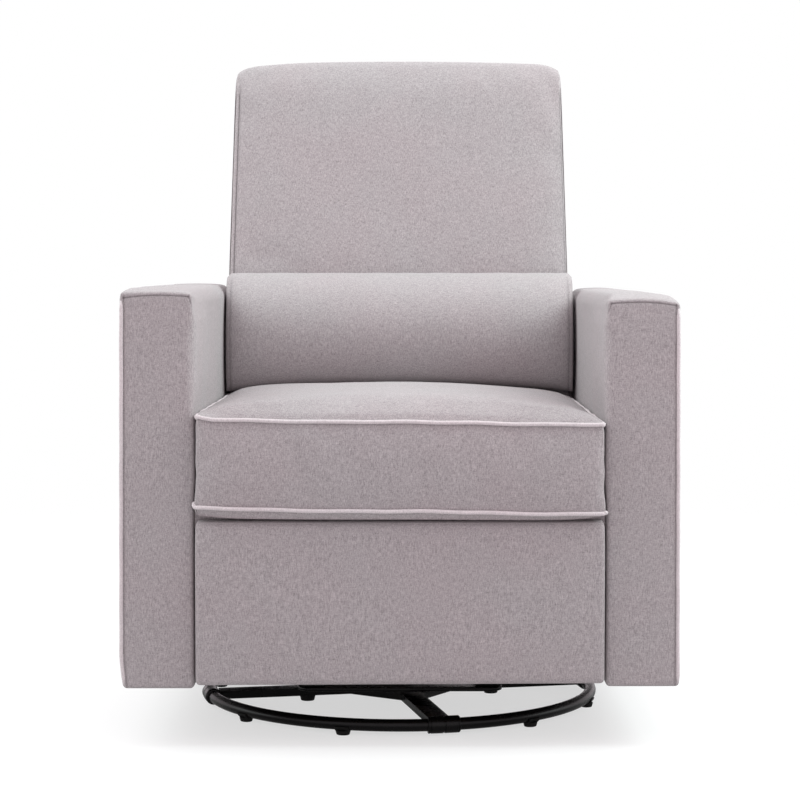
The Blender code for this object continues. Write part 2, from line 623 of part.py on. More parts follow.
def build_footrest():
    pivot = FOOT_PIVOT
    elbow = foot_point(pivot, FOOT_A_ANGLE, FOOT_BAR)
    board_pin = foot_point(elbow, FOOT_B_ANGLE, FOOT_BAR)
    a_mid = foot_point(pivot, FOOT_A_ANGLE, FOOT_BAR / 2)
    b_mid = foot_point(elbow, FOOT_B_ANGLE, FOOT_BAR / 2)
    cross_top = foot_point(a_mid, FOOT_B_ANGLE, FOOT_BAR / 2)
    cross_base = foot_point(a_mid, FOOT_B_ANGLE, -FOOT_BAR / 2)
    tip = foot_point(b_mid, FOOT_A_ANGLE, FOOT_BAR / 2)
    body("foot_a", (0, *pivot), "chair")
    body("foot_b", (0, *elbow), "foot_a")
    body("foot_cross_b", (0, *a_mid), "foot_a")
    body("foot_cross_a", (0, *b_mid), "foot_b")
    body("footboard", (0, *board_pin), "foot_b")

    def hole(at):
        return disc(at, FOOT_PIN + FOOT_PLAY, "x", 0.2190, 0.2290, 12)

    def pin_out(at):
        return [disc(at, FOOT_PIN, "x", B_OUT - 0.001, A_OUT + 0.0020, 12),
                disc(at, FOOT_BAR_HALF - 0.001, "x", B_OUT - 0.0012, A_IN - GAP, 12)]

    for name, side in SIDES:
        def hand(solids, side=side):
            return [mirrored(bm, side) for bm in solids]

        bar = prism(bar_outline(pivot, elbow, FOOT_BAR_HALF), "x", A_IN, A_OUT)
        stub = disc(pivot, FOOT_PIN + 0.001, "x", A_OUT - 0.001, BRACKET_OUT + 0.002, 12)
        piece("foot_bar_a_" + name, "foot_a", "zinc_steel", hand([bar, stub]),
              hand([hole(elbow), hole(a_mid)]))
        bar = prism(bar_outline(elbow, board_pin, FOOT_BAR_HALF), "x", B_IN, B_OUT)
        stub = disc(board_pin, FOOT_PIN, "x", BOARD_BRACKET_IN - 0.002, B_IN + 0.001, 12)
        piece("foot_bar_b_" + name, "foot_b", "zinc_steel",
              hand([bar, stub] + pin_out(elbow) + pin_out(b_mid)))
        bar = prism(bar_outline(cross_base, cross_top, FOOT_BAR_HALF), "x", B_IN, B_OUT)
        piece("foot_cross_b_" + name, "foot_cross_b", "zinc_steel",
              hand([bar] + pin_out(a_mid) + pin_out(cross_top)))
        bar = prism(bar_outline(cross_top, tip, FOOT_BAR_HALF), "x", A_IN, A_OUT)
        piece("foot_cross_a_" + name, "foot_cross_a", "zinc_steel", hand([bar]),
              hand([hole(b_mid), hole(cross_top)]))
        py, pz = board_pin
        web = prism([(BOARD_REAR + GAP, 0.170), (BOARD_REAR + 0.010, 0.170), (py + 0.009, pz - 0.012),
                     (py + 0.011, pz), (py + 0.007, pz + 0.010), (BOARD_REAR + 0.010, 0.295),
                     (BOARD_REAR + GAP, 0.295)], "x", BOARD_BRACKET_IN, BOARD_BRACKET_OUT)
        flange = block(0.1850, BOARD_BRACKET_OUT - 0.0005, BOARD_REAR + GAP + 0.0002, BOARD_REAR + 0.0035,
                       0.1705, 0.2945)
        eye = disc(board_pin, FOOT_PIN + FOOT_PLAY, "x", 0.20, 0.2135, 12)
        piece("board_bracket_" + name, "footboard", "black_steel", hand([web, flange]), hand([eye]))
    tube = disc(pivot, 0.0062, "x", -A_IN + GAP, A_IN - GAP, 14)
    piece("torque_tube", "foot_a", "black_steel", tube)
    piece("footboard_core", "footboard", "timber",
          block(-0.270, 0.270, BOARD_JOIN + GAP, BOARD_REAR, 0.100, 0.304))
    outline = rounded(BOARD_FRONT, BOARD_JOIN, BOARD_BOTTOM, BOARD_TOP, 0.010, 4)
    piece("footrest_pad", "footboard", "upholstery", prism(outline, "x", -BOARD_HALF, BOARD_HALF))


def build_release():
    """A webbing pull tab in the slit between the seat cushion and the left arm."""
    body("pull_tab", (-0.2860, 0.020, 0.400), "chair")
    outline = rounded(0.006, 0.034, 0.3600, 0.4380, 0.008, 4)
    window = rounded(0.013, 0.027, 0.4010, 0.4310, 0.005, 3)
    piece("pull_tab", "pull_tab", "webbing", [prism(outline, "x", *TAB_X)],
          [prism(window, "x", -0.30, -0.27)])


def main():
    clear_scene()
    body("base", (0, SWIVEL_Y, 0))
    body("turntable", (0, SWIVEL_Y, PLATE_BOTTOM), "base")
    body("link_front", (0, SWIVEL_Y - GLIDE_Y, GLIDE_TOP), "turntable")
    body("link_rear", (0, SWIVEL_Y + GLIDE_Y, GLIDE_TOP), "turntable")
    body("chair", (0, SWIVEL_Y - GLIDE_Y, GLIDE_LOW), "link_front")
    body("back", (0, *BACK_PIVOT), "chair")
    build_base()
    build_turntable()
    build_glide_links()
    build_chair()
    build_back()
    build_footrest()
    build_release()


main()
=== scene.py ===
"""Looks for the glider nursery chair: covers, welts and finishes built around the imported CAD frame."""

import json
import math

import bmesh
import bpy
import numpy as np
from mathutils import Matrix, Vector


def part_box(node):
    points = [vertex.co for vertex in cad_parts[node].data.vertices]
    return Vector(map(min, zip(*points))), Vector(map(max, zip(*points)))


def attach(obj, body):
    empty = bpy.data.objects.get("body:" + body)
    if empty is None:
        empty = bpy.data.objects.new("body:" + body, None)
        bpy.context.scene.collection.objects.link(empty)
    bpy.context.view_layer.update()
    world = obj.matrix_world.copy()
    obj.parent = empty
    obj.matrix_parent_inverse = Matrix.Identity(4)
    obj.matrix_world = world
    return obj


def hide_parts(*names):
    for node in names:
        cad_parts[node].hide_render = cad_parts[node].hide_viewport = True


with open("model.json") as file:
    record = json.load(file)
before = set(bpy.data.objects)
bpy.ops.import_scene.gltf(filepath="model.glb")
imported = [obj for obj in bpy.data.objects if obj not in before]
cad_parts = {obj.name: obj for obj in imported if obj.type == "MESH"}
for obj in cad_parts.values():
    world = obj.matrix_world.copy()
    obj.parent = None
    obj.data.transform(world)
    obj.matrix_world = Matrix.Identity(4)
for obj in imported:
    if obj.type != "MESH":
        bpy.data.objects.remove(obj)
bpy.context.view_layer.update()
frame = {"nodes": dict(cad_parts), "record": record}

# The back's own plane, as in the CAD: s runs up the back, n out of its front
BACK_TILT = math.radians(11.0)
BACK_ORIGIN = Vector((0.263, 0.360))
BACK_TOP = 0.662
BACK_HALF, BACK_HALF_TOP = 0.2865, 0.2780  # half its width at its foot and at its top
NARROW_FROM = 0.30  # it narrows above this height
PAD_THICK = 0.095

# Arms
ARM_SEAM, ARM_TOP = 0.6395, 0.6450  # heights of the seam under the top and of the top itself
ARM_STRIP = 0.0064  # from the outer face to the seam beside the welt
ARM_TURN = 0.0053  # from the inner face to the seam's corner
ARM_SLANT = 0.39  # how far the seam leans inwards below its corner

# Seat
LIP = -0.3965  # behind this the cushion rests on the deck, and before it hangs over the front rail
LOW_WELT, TOP_WELT = 0.0165, 0.4600  # the low welt above the cushion's foot, and the top welt's height

# Back
PAD_FOOT, PAD_TOP = 0.050, 0.656
PAD_SEAMS = (0.0090, 0.0045)  # from the pad's left and right sides to its seams
SEAMS_END = 0.600  # the pad's seams fade out above this
SHELL_SEAM = 0.016  # from the shell's sides to its seams
PANEL_SEAM = 0.022  # from the rear panel's top to its seam

# Seams and welts
SEAM_WIDTH = 0.0008
SEAM_DEPTH = 0.0024
SEAM_LINES = (-0.0036, -0.0009, 0.0, 0.0009, 0.0036)  # grid lines beside a seam
SEAM_CLEAR = 0.0052  # no other grid line comes nearer to a seam
EDGE_SHARES = (0.0, 0.12, 0.34, 0.64, 1.0)  # grid lines across a rounded edge
WELT = 0.0029

# Cloth simulation
STEPS = 20
HELD = "held"

# Colours of the cloth, the soft lights and the room
CLOTH = (0.396, 0.360, 0.369)
THREAD_PITCH = 0.0013
SOFTBOX_TINT = (0.85, 1.0, 0.960)
ROOM_TINT = (1.0, 0.914, 0.951)
ROOM_LIGHT = 0.977
WHITE = (1.0, 1.0, 1.0, 1.0)

# Camera
CAMERA_PLACE = (0.0, -3.488, 0.674)
CAMERA_TURN = (math.radians(86.56), 0.0, 0.0)
LENS, SENSOR = 99.8, 36.0

UP = np.array((0.0, 0.0, 1.0))
NEAR = 1e-6  # closer than this, two places are the same


def box_of(node):
    """The low and high corners of a CAD node."""
    low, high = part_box(node)
    return np.array(low), np.array(high)


# ---------------- materials


def same(value):
    """The same value for three channels or axes."""
    return (value, value, value)


class Nodes:
    """A short way to build a node tree."""

    def __init__(self, name):
        self.material = bpy.data.materials.new(name)
        self.material.use_nodes = True
        self.tree = self.material.node_tree
        self.shader = self.tree.nodes["Principled BSDF"]
        self.place = self.tree.nodes.new("ShaderNodeTexCoord").outputs["Object"]

    def add(self, kind, inputs=None, **settings):
        node = self.tree.nodes.new("ShaderNode" + kind)
        for key, value in settings.items():
            setattr(node, key, value)
        for key, value in (inputs or {}).items():
            self.feed(node.inputs[key], value)
        return node

    def feed(self, socket, value):
        """Links a socket to another node's output, or sets it to a number, vector or colour."""
        if isinstance(value, bpy.types.NodeSocket):
            self.tree.links.new(value, socket)
        elif socket.type == "RGBA" and len(value) == 3:
            socket.default_value = (*value, 1.0)
        else:
            socket.default_value = value

    def noise(self, scale, detail=2.0, rough=0.55, turn=(0, 0, 0)):
        """Noise stretched by a scale for each axis."""
        spread = self.add("Mapping", {"Vector": self.place, "Scale": scale, "Rotation": turn}).outputs[0]
        node = self.add("TexNoise", {"Vector": spread, "Scale": 1.0, "Detail": detail, "Roughness": rough})
        return node.outputs["Fac"]

    def math(self, operation, a, b):
        return self.add("Math", {0: a, 1: b}, operation=operation).outputs[0]

    def ramp(self, factor, *stops):
        node = self.add("ValToRGB", {"Fac": factor})
        elements = node.color_ramp.elements
        for i, (at, colour) in enumerate(stops):
            element = elements[i] if i < 2 else elements.new(at)
            element.position = at
            element.color = (*colour, 1.0)
        return node.outputs["Color"]

    def mix(self, factor, a, b, blend="MIX"):
        node = self.add("Mix", {"Factor": factor}, data_type="RGBA", blend_type=blend)
        for socket, value in (("A", a), ("B", b)):
            self.feed(next(i for i in node.inputs if i.name == socket and i.type == "RGBA"), value)
        return next(o for o in node.outputs if o.type == "RGBA")

    def finish(self, colour, roughness, bump=None, strength=0.3, distance=0.0005, **uniform):
        """Gives the shader its colour, roughness and bump, and any uniform values by their names."""
        inputs = self.shader.inputs
        self.feed(inputs["Base Color"], colour)
        self.feed(inputs["Roughness"], roughness)
        if bump is not None:
            node = self.add("Bump", {"Height": bump, "Strength": strength, "Distance": distance})
            self.feed(inputs["Normal"], node.outputs["Normal"])
        for key, value in uniform.items():
            inputs[key.replace("_", " ").title().replace("Ior", "IOR")].default_value = value
        return self.material


def threads(made, fine, long):
    """Heather: short streaks along each of the three axes, summed."""
    streaks = [made.noise((fine, fine, long), 3.0, 0.6), made.noise((long, fine, fine), 3.0, 0.6),
               made.noise((fine, long, fine), 3.0, 0.6)]
    upright = made.math("MULTIPLY", streaks[0], 0.50)
    level = made.math("MULTIPLY", streaks[1], 0.26)
    deep = made.math("MULTIPLY", streaks[2], 0.24)
    return made.math("ADD", made.math("ADD", upright, level), deep)


def weave(made, pitch):
    """Crossing threads at the pitch, whichever way the surface faces."""
    turn = math.tau / pitch
    waves = []
    parts = made.add("SeparateXYZ", {"Vector": made.place})
    for axis in "XYZ":
        angle = made.math("MULTIPLY", parts.outputs[axis], turn)
        waves.append(made.math("SINE", angle, 0.0))
    pairs = [made.math("MULTIPLY", waves[i], waves[j]) for i, j in ((0, 1), (1, 2), (0, 2))]
    return made.math("ADD", made.math("ADD", pairs[0], pairs[1]), pairs[2])


def upholstery(name, tone=1.0, contrast=1.0):
    """Heathered woven cover: threads of three tones, a fine weave, a little fuzz, and painted shade in its
    seams.
    """
    made = Nodes(name)
    heather = threads(made, 900.0, 170.0)
    speck = made.noise((1500.0, 1500.0, 900.0), 2.0, 0.6)
    both = made.math("ADD", made.math("MULTIPLY", heather, 0.72), made.math("MULTIPLY", speck, 0.28))
    spread = 0.5 * contrast
    base = np.array(CLOTH) * tone
    dark, light = base * (1 - spread), base * (1 + spread)
    colour = made.ramp(both, (0.36, tuple(dark)), (0.64, tuple(light)), (0.50, tuple(base)))
    drift = made.noise(same(6.0), 3.0)
    tint = made.ramp(drift, (0.35, (0.990, 1.005, 1.003)), (0.65, (1.005, 0.988, 0.992)))
    colour = made.mix(1.0, colour, tint, "MULTIPLY")
    # Painted shade: the seam attribute darkens the cloth towards a near-black tone in the seams' grooves
    seam = made.add("Attribute", attribute_name="seam").outputs["Fac"]
    colour = made.mix(made.math("MULTIPLY", seam, 0.80), colour, tuple(base * 0.16))
    fluff = made.noise(same(2200.0), 2.0)
    height = made.math("ADD", made.math("MULTIPLY", weave(made, THREAD_PITCH), 0.22),
                       made.math("ADD", both, made.math("MULTIPLY", fluff, 0.4)))
    rough = made.ramp(drift, (0.3, same(0.90)), (0.7, same(0.97)))
    return made.finish(colour, rough, height, 0.40, 0.0005, sheen_weight=0.12, sheen_roughness=0.55,
                       specular_ior_level=0.20)


def black_steel():
    made = Nodes("satin_black_steel")
    cloud = made.noise(same(30.0), 4.0)
    scuff = made.noise((260.0, 40.0, 260.0), 5.0, 0.7, (0.3, 0.2, 0.5))
    colour = made.ramp(scuff, (0.66, (0.0026, 0.0023, 0.0025)), (0.82, (0.012, 0.011, 0.011)))
    rough = made.ramp(cloud, (0.3, same(0.20)), (0.7, same(0.32)))
    peel = made.noise(same(900.0), 2.0)
    return made.finish(colour, rough, peel, 0.10, 0.0003, metallic=0.0, specular_ior_level=0.22)


def zinc_steel():
    made = Nodes("zinc_plated_steel")
    cloud = made.noise(same(55.0), 5.0)
    colour = made.ramp(cloud, (0.3, (0.50, 0.51, 0.53)), (0.7, (0.66, 0.65, 0.61)))
    brush = made.noise((900.0, 60.0, 900.0), 4.0, 0.65)
    rough = made.ramp(brush, (0.3, same(0.28)), (0.7, same(0.46)))
    return made.finish(colour, rough, brush, 0.12, 0.0002, metallic=1.0)


def timber():
    made = Nodes("sawn_timber")
    bent = made.noise((3.0, 14.0, 14.0), 3.0)
    grain = made.noise((9.0, 240.0, 240.0), 5.0, 0.65)
    rings = made.noise((2.0, 46.0, 46.0), 2.0)
    tone = made.math("ADD", made.math("MULTIPLY", grain, 0.45), made.math("MULTIPLY", rings, 0.55))
    colour = made.ramp(tone, (0.36, (0.36, 0.215, 0.105)), (0.64, (0.66, 0.475, 0.28)))
    colour = made.mix(0.25, colour, made.ramp(bent, (0.3, (0.50, 0.34, 0.19)), (0.7, (0.62, 0.46, 0.29))))
    return made.finish(colour, 0.72, grain, 0.35, 0.0006)


def black_plastic():
    made = Nodes("moulded_black_plastic")
    grain = made.noise(same(1500.0), 2.0)
    worn = made.noise(same(90.0), 4.0)
    colour = made.ramp(worn, (0.4, same(0.004)), (0.75, (0.014, 0.013, 0.013)))
    return made.finish(colour, 0.52, grain, 0.3, 0.0003, specular_ior_level=0.20)


def webbing():
    made = Nodes("black_webbing")
    ribs = weave(made, 0.0024)
    lint = made.noise((700.0, 700.0, 200.0), 3.0)
    colour = made.ramp(lint, (0.35, (0.012, 0.012, 0.014)), (0.70, (0.050, 0.048, 0.052)))
    return made.finish(colour, 0.88, ribs, 0.8, 0.0007, sheen_weight=0.2)


def pale_floor():
    """White paper lit from below, which fades out towards its edge. It gives less light than it shows."""
    made = Nodes("pale_floor")
    drift = made.noise(same(1.5), 2.0)
    colour = made.ramp(drift, (0.3, same(0.34)), (0.7, same(0.36)))
    made.feed(made.shader.inputs["Emission Color"], WHITE)
    seen = made.add("LightPath").outputs["Is Camera Ray"]
    glow = made.add("MapRange", {"Value": seen, "To Min": 0.17, "To Max": 0.62})
    made.feed(made.shader.inputs["Emission Strength"], glow.outputs[0])
    away = made.add("VectorMath", {0: made.place}, operation="LENGTH").outputs["Value"]
    span = {"Value": away, "From Min": 1.2, "From Max": 2.9, "To Min": 1.0, "To Max": 0.0}
    fade = made.add("MapRange", span, interpolation_type="SMOOTHSTEP")
    made.feed(made.shader.inputs["Alpha"], fade.outputs[0])
    return made.finish(colour, 0.85)


COVER = upholstery("heather_cover")
# The welts' cloth is painted lighter than the cover (tone 1.68): a painted highlight for the light they
# catch from above
PIPING_PAINTED_HIGHLIGHT = upholstery("piping_cover_painted_highlight", 1.68, 0.5)
FINISHES = {
    "black_steel": black_steel(),
    "zinc_steel": zinc_steel(),
    "timber": timber(),
    "black_plastic": black_plastic(),
    "webbing": webbing(),
    "upholstery": COVER,
}


# ---------------- mesh tools


def new_object(name, verts, faces, material, smooth=True):
    mesh = bpy.data.meshes.new(name)
    mesh.from_pydata([tuple(v) for v in verts], [], faces)
    mesh.update()
    obj = bpy.data.objects.new(name, mesh)
    bpy.context.scene.collection.objects.link(obj)
    mesh.materials.append(material)
    if smooth:
        mesh.shade_smooth()
    return obj


def lines(low, high, step, low_edge=0.0, high_edge=0.0, seams=()):
    """Grid lines from low to high, closer together where an edge is rounded and beside each seam."""
    marks = [low + low_edge * s for s in EDGE_SHARES] if low_edge else [low]
    marks += [high - high_edge * s for s in EDGE_SHARES] if high_edge else [high]
    inner_low, inner_high = low + low_edge, high - high_edge
    count = max(1, round((inner_high - inner_low) / step))
    marks += [inner_low + (inner_high - inner_low) * i / count for i in range(count + 1)]
    near = [seam + step for seam in seams for step in SEAM_LINES]
    marks = [m for m in marks if all(abs(m - seam) > SEAM_CLEAR for seam in seams) or m in (low, high)]
    ordered = []
    for mark in sorted(m for m in marks + near if low <= m <= high):
        if not ordered or mark - ordered[-1] > 1e-5:
            ordered.append(mark)
    return ordered


def panel_box(name, xs, ys, zs, shape, material):
    """A closed box surface with grid lines at xs, ys and zs. shape moves all its points at once."""
    counts = (len(xs), len(ys), len(zs))
    axes = (xs, ys, zs)
    index, points, faces = {}, [], []

    def vertex(key):
        if key not in index:
            index[key] = len(points)
            points.append([axes[a][key[a]] for a in range(3)])
        return index[key]

    for fixed in range(3):
        u, v = [a for a in range(3) if a != fixed]
        for end in (0, counts[fixed] - 1):
            for i in range(counts[u] - 1):
                for j in range(counts[v] - 1):
                    corners = []
                    for di, dj in ((0, 0), (1, 0), (1, 1), (0, 1)):
                        key = [0, 0, 0]
                        key[fixed], key[u], key[v] = end, i + di, j + dj
                        corners.append(vertex(tuple(key)))
                    outward = (end > 0) != (fixed == 1)
                    faces.append(corners if outward else corners[::-1])
    flat = np.array(points)
    placed = shape(flat.copy())
    corner = placed[np.array(faces)]
    spin = np.cross(corner[:, 2] - corner[:, 0], corner[:, 3] - corner[:, 1])
    if np.einsum("ij,ij->", corner.mean(1) - placed.mean(0), spin) < 0:
        faces = [face[::-1] for face in faces]
    return new_object(name, placed, faces, material), flat, index


def rounded(p, low, high, r_low, r_high):
    """Points of a box surface moved onto the same box with rounded edges, a radius for each side."""
    low, high = np.asarray(low, float), np.asarray(high, float)
    r_low, r_high = np.asarray(r_low, float) + NEAR, np.asarray(r_high, float) + NEAR
    inner = np.minimum(np.maximum(p, low + r_low), high - r_high)
    off = p - inner
    unit = off / np.where(off < 0, r_low, r_high)
    largest = np.abs(unit).max(1, keepdims=True)
    length = np.linalg.norm(unit, axis=1, keepdims=True)
    return inner + off * np.where(length > 1e-9, largest / np.maximum(length, 1e-9), 0.0)


def smooth_step(x, low, high):
    """0 up to low, 1 from high, and a smooth rise between."""
    t = np.clip((x - low) / (high - low), 0.0, 1.0)
    return t * t * (3 - 2 * t)


def groove(distance, width=SEAM_WIDTH):
    """1 on a seam's line, and falling to 0 on both sides of it."""
    return np.exp(-((distance / width) ** 2))


def paint_seam_shade(obj, amount):
    """Stores how deep in a seam each point is (0 to 1), which the cover's material darkens as painted shade
    in the groove.
    """
    values = obj.data.attributes.new("seam", "FLOAT", "POINT").data
    values.foreach_set("value", np.clip(np.asarray(amount, dtype=float), 0, 1))


def ripple(p, size, seed, waves=7):
    """Gentle unevenness, from -1 to 1, with features about size across."""
    random = np.random.default_rng(seed)
    total = np.zeros(len(p))
    for _ in range(waves):
        way = random.normal(size=3)
        way *= math.tau / size / np.linalg.norm(way) * random.uniform(0.5, 1.3)
        total += np.sin(p @ way + random.uniform(0, math.tau))
    return total / waves


def on_back(p):
    """Points (x, n, s) of the back, in the row frame."""
    sine, cosine = math.sin(BACK_TILT), math.cos(BACK_TILT)
    x, n, s = p[:, 0], p[:, 1], p[:, 2]
    y = BACK_ORIGIN.x + s * sine - n * cosine
    z = BACK_ORIGIN.y + s * cosine + n * sine
    return np.stack([x, y, z], 1)


def across_back(x, s):
    """Where a share of the back's width (-1 to 1) lies at a height: narrower upwards, and on the right."""
    share = np.clip((s - NARROW_FROM) / (BACK_TOP - NARROW_FROM), 0, 1)
    half = BACK_HALF + (BACK_HALF_TOP - BACK_HALF) * share
    return x * half - 0.0058 * np.clip(x, 0, 1) * smooth_step(s, 0.05, 0.20)


def back_top(u, crown, drop):
    """How far the back's top edge lies off level over a share of its width.
    It is crowned, with rounded corners, and lower at its left."""
    corner = np.clip((np.abs(u) - 0.88) / 0.12, 0, 1) ** 2
    return crown * (1 - u * u) - drop * corner - 0.0040 * smooth_step(-u, 0.55, 0.98) - 0.0016


SOFT = []  # covers to be swollen
FINAL = []  # what is left to do once they are


def inflate_later(obj, held, pressure, cap, slack=0.015):
    """Marks a cover to be swollen by a cloth simulation, with the held points (0 to 1) kept in place."""
    SOFT.append((obj, held, pressure, cap, slack))


def points_of(mesh):
    points = np.empty(len(mesh.vertices) * 3)
    mesh.vertices.foreach_get("co", points)
    return points.reshape(-1, 3)


def simulate():
    """Runs every cover's cloth simulation at once, and keeps no more than the cap of each movement."""
    before = []
    for obj, held, pressure, _, slack in SOFT:
        group = obj.vertex_groups.new(name=HELD)
        for i, weight in enumerate(held):
            if weight > 0:
                group.add([i], float(weight), "REPLACE")
        cloth = obj.modifiers.new("cover", "CLOTH")
        settings = cloth.settings
        settings.quality = 6
        settings.mass = 0.25
        settings.tension_stiffness = settings.compression_stiffness = 18.0
        settings.shear_stiffness = 6.0
        settings.bending_stiffness = 1.2
        settings.vertex_group_mass = HELD
        settings.use_pressure = True
        settings.uniform_pressure_force = pressure
        settings.shrink_min = -slack
        settings.effector_weights.gravity = 0.0
        cloth.collision_settings.use_collision = False
        cloth.point_cache.frame_start, cloth.point_cache.frame_end = 1, STEPS
        before.append(points_of(obj.data))
    for step in range(1, STEPS + 1):
        bpy.context.scene.frame_set(step)
    graph = bpy.context.evaluated_depsgraph_get()
    for (obj, _, _, cap, _), rest in zip(SOFT, before):
        move = points_of(obj.evaluated_get(graph).to_mesh()) - rest
        length = np.linalg.norm(move, axis=1, keepdims=True)
        move *= np.tanh(length / cap) * cap / np.maximum(length, 1e-9)
        obj.evaluated_get(graph).to_mesh_clear()
        obj.modifiers.remove(obj.modifiers["cover"])
        obj.data.vertices.foreach_set("co", (rest + move).ravel())
        obj.data.update()
    bpy.context.scene.frame_set(1)


def subdivide(obj):
    modifier = obj.modifiers.new("smooth", "SUBSURF")
    modifier.levels = modifier.render_levels = 1


def shown_points(obj, chosen):
    """Where the chosen points of a cover lie once it is subdivided."""
    bpy.context.view_layer.update()
    mesh = obj.evaluated_get(bpy.context.evaluated_depsgraph_get()).to_mesh()
    found = np.array([mesh.vertices[i].co[:] for i in chosen])
    normals = np.array([mesh.vertices[i].normal[:] for i in chosen])
    return found, normals


def loft_faces(rings, sides, closed=False):
    """Faces round a stack of rings, each of so many sides: joined end to end, or with its ends capped."""
    faces = []
    for i in range(rings if closed else rings - 1):
        a, b = i * sides, ((i + 1) % rings) * sides
        for k in range(sides):
            m = (k + 1) % sides
            faces.append((a + k, a + m, b + m, b + k))
    if not closed:
        faces.append(tuple(range(sides))[::-1])
        faces.append(tuple(range((rings - 1) * sides, rings * sides)))
    return faces


def tube(name, path, radius, material, closed=False, sides=10):
    """A round tube along a path of points, drawn in at its ends."""
    path = [Vector(p) for p in path]
    count = len(path)
    verts = []
    side = None
    for i, here in enumerate(path):
        ahead = path[(i + 1) % count] if closed or i + 1 < count else here
        behind = path[i - 1] if closed or i else here
        along = (ahead - behind).normalized()
        if side is None:
            side = along.orthogonal().normalized()
        side = (side - along * side.dot(along)).normalized()
        up = along.cross(side)
        near_end = not closed and i in (0, count - 1)
        r = radius * (0.55 if near_end else 1.0)
        for k in range(sides):
            t = math.tau * k / sides
            verts.append(here + side * (r * math.cos(t)) + up * (r * math.sin(t)))
    return new_object(name, verts, loft_faces(count, sides, closed), material)


def ride(obj, body, slot, *nodes):
    """Says which body a piece rides on and the CAD nodes it stands for; the material slot is not used."""
    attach(obj, body)
    if nodes:
        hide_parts(*nodes)


def finish_cover(obj, body, fill, *nodes):
    """Smooths a cover, and says what it rides on and stands for; how full it is (fill) is not used."""
    subdivide(obj)
    ride(obj, body, "upholstery", *nodes)


# ---------------- covers


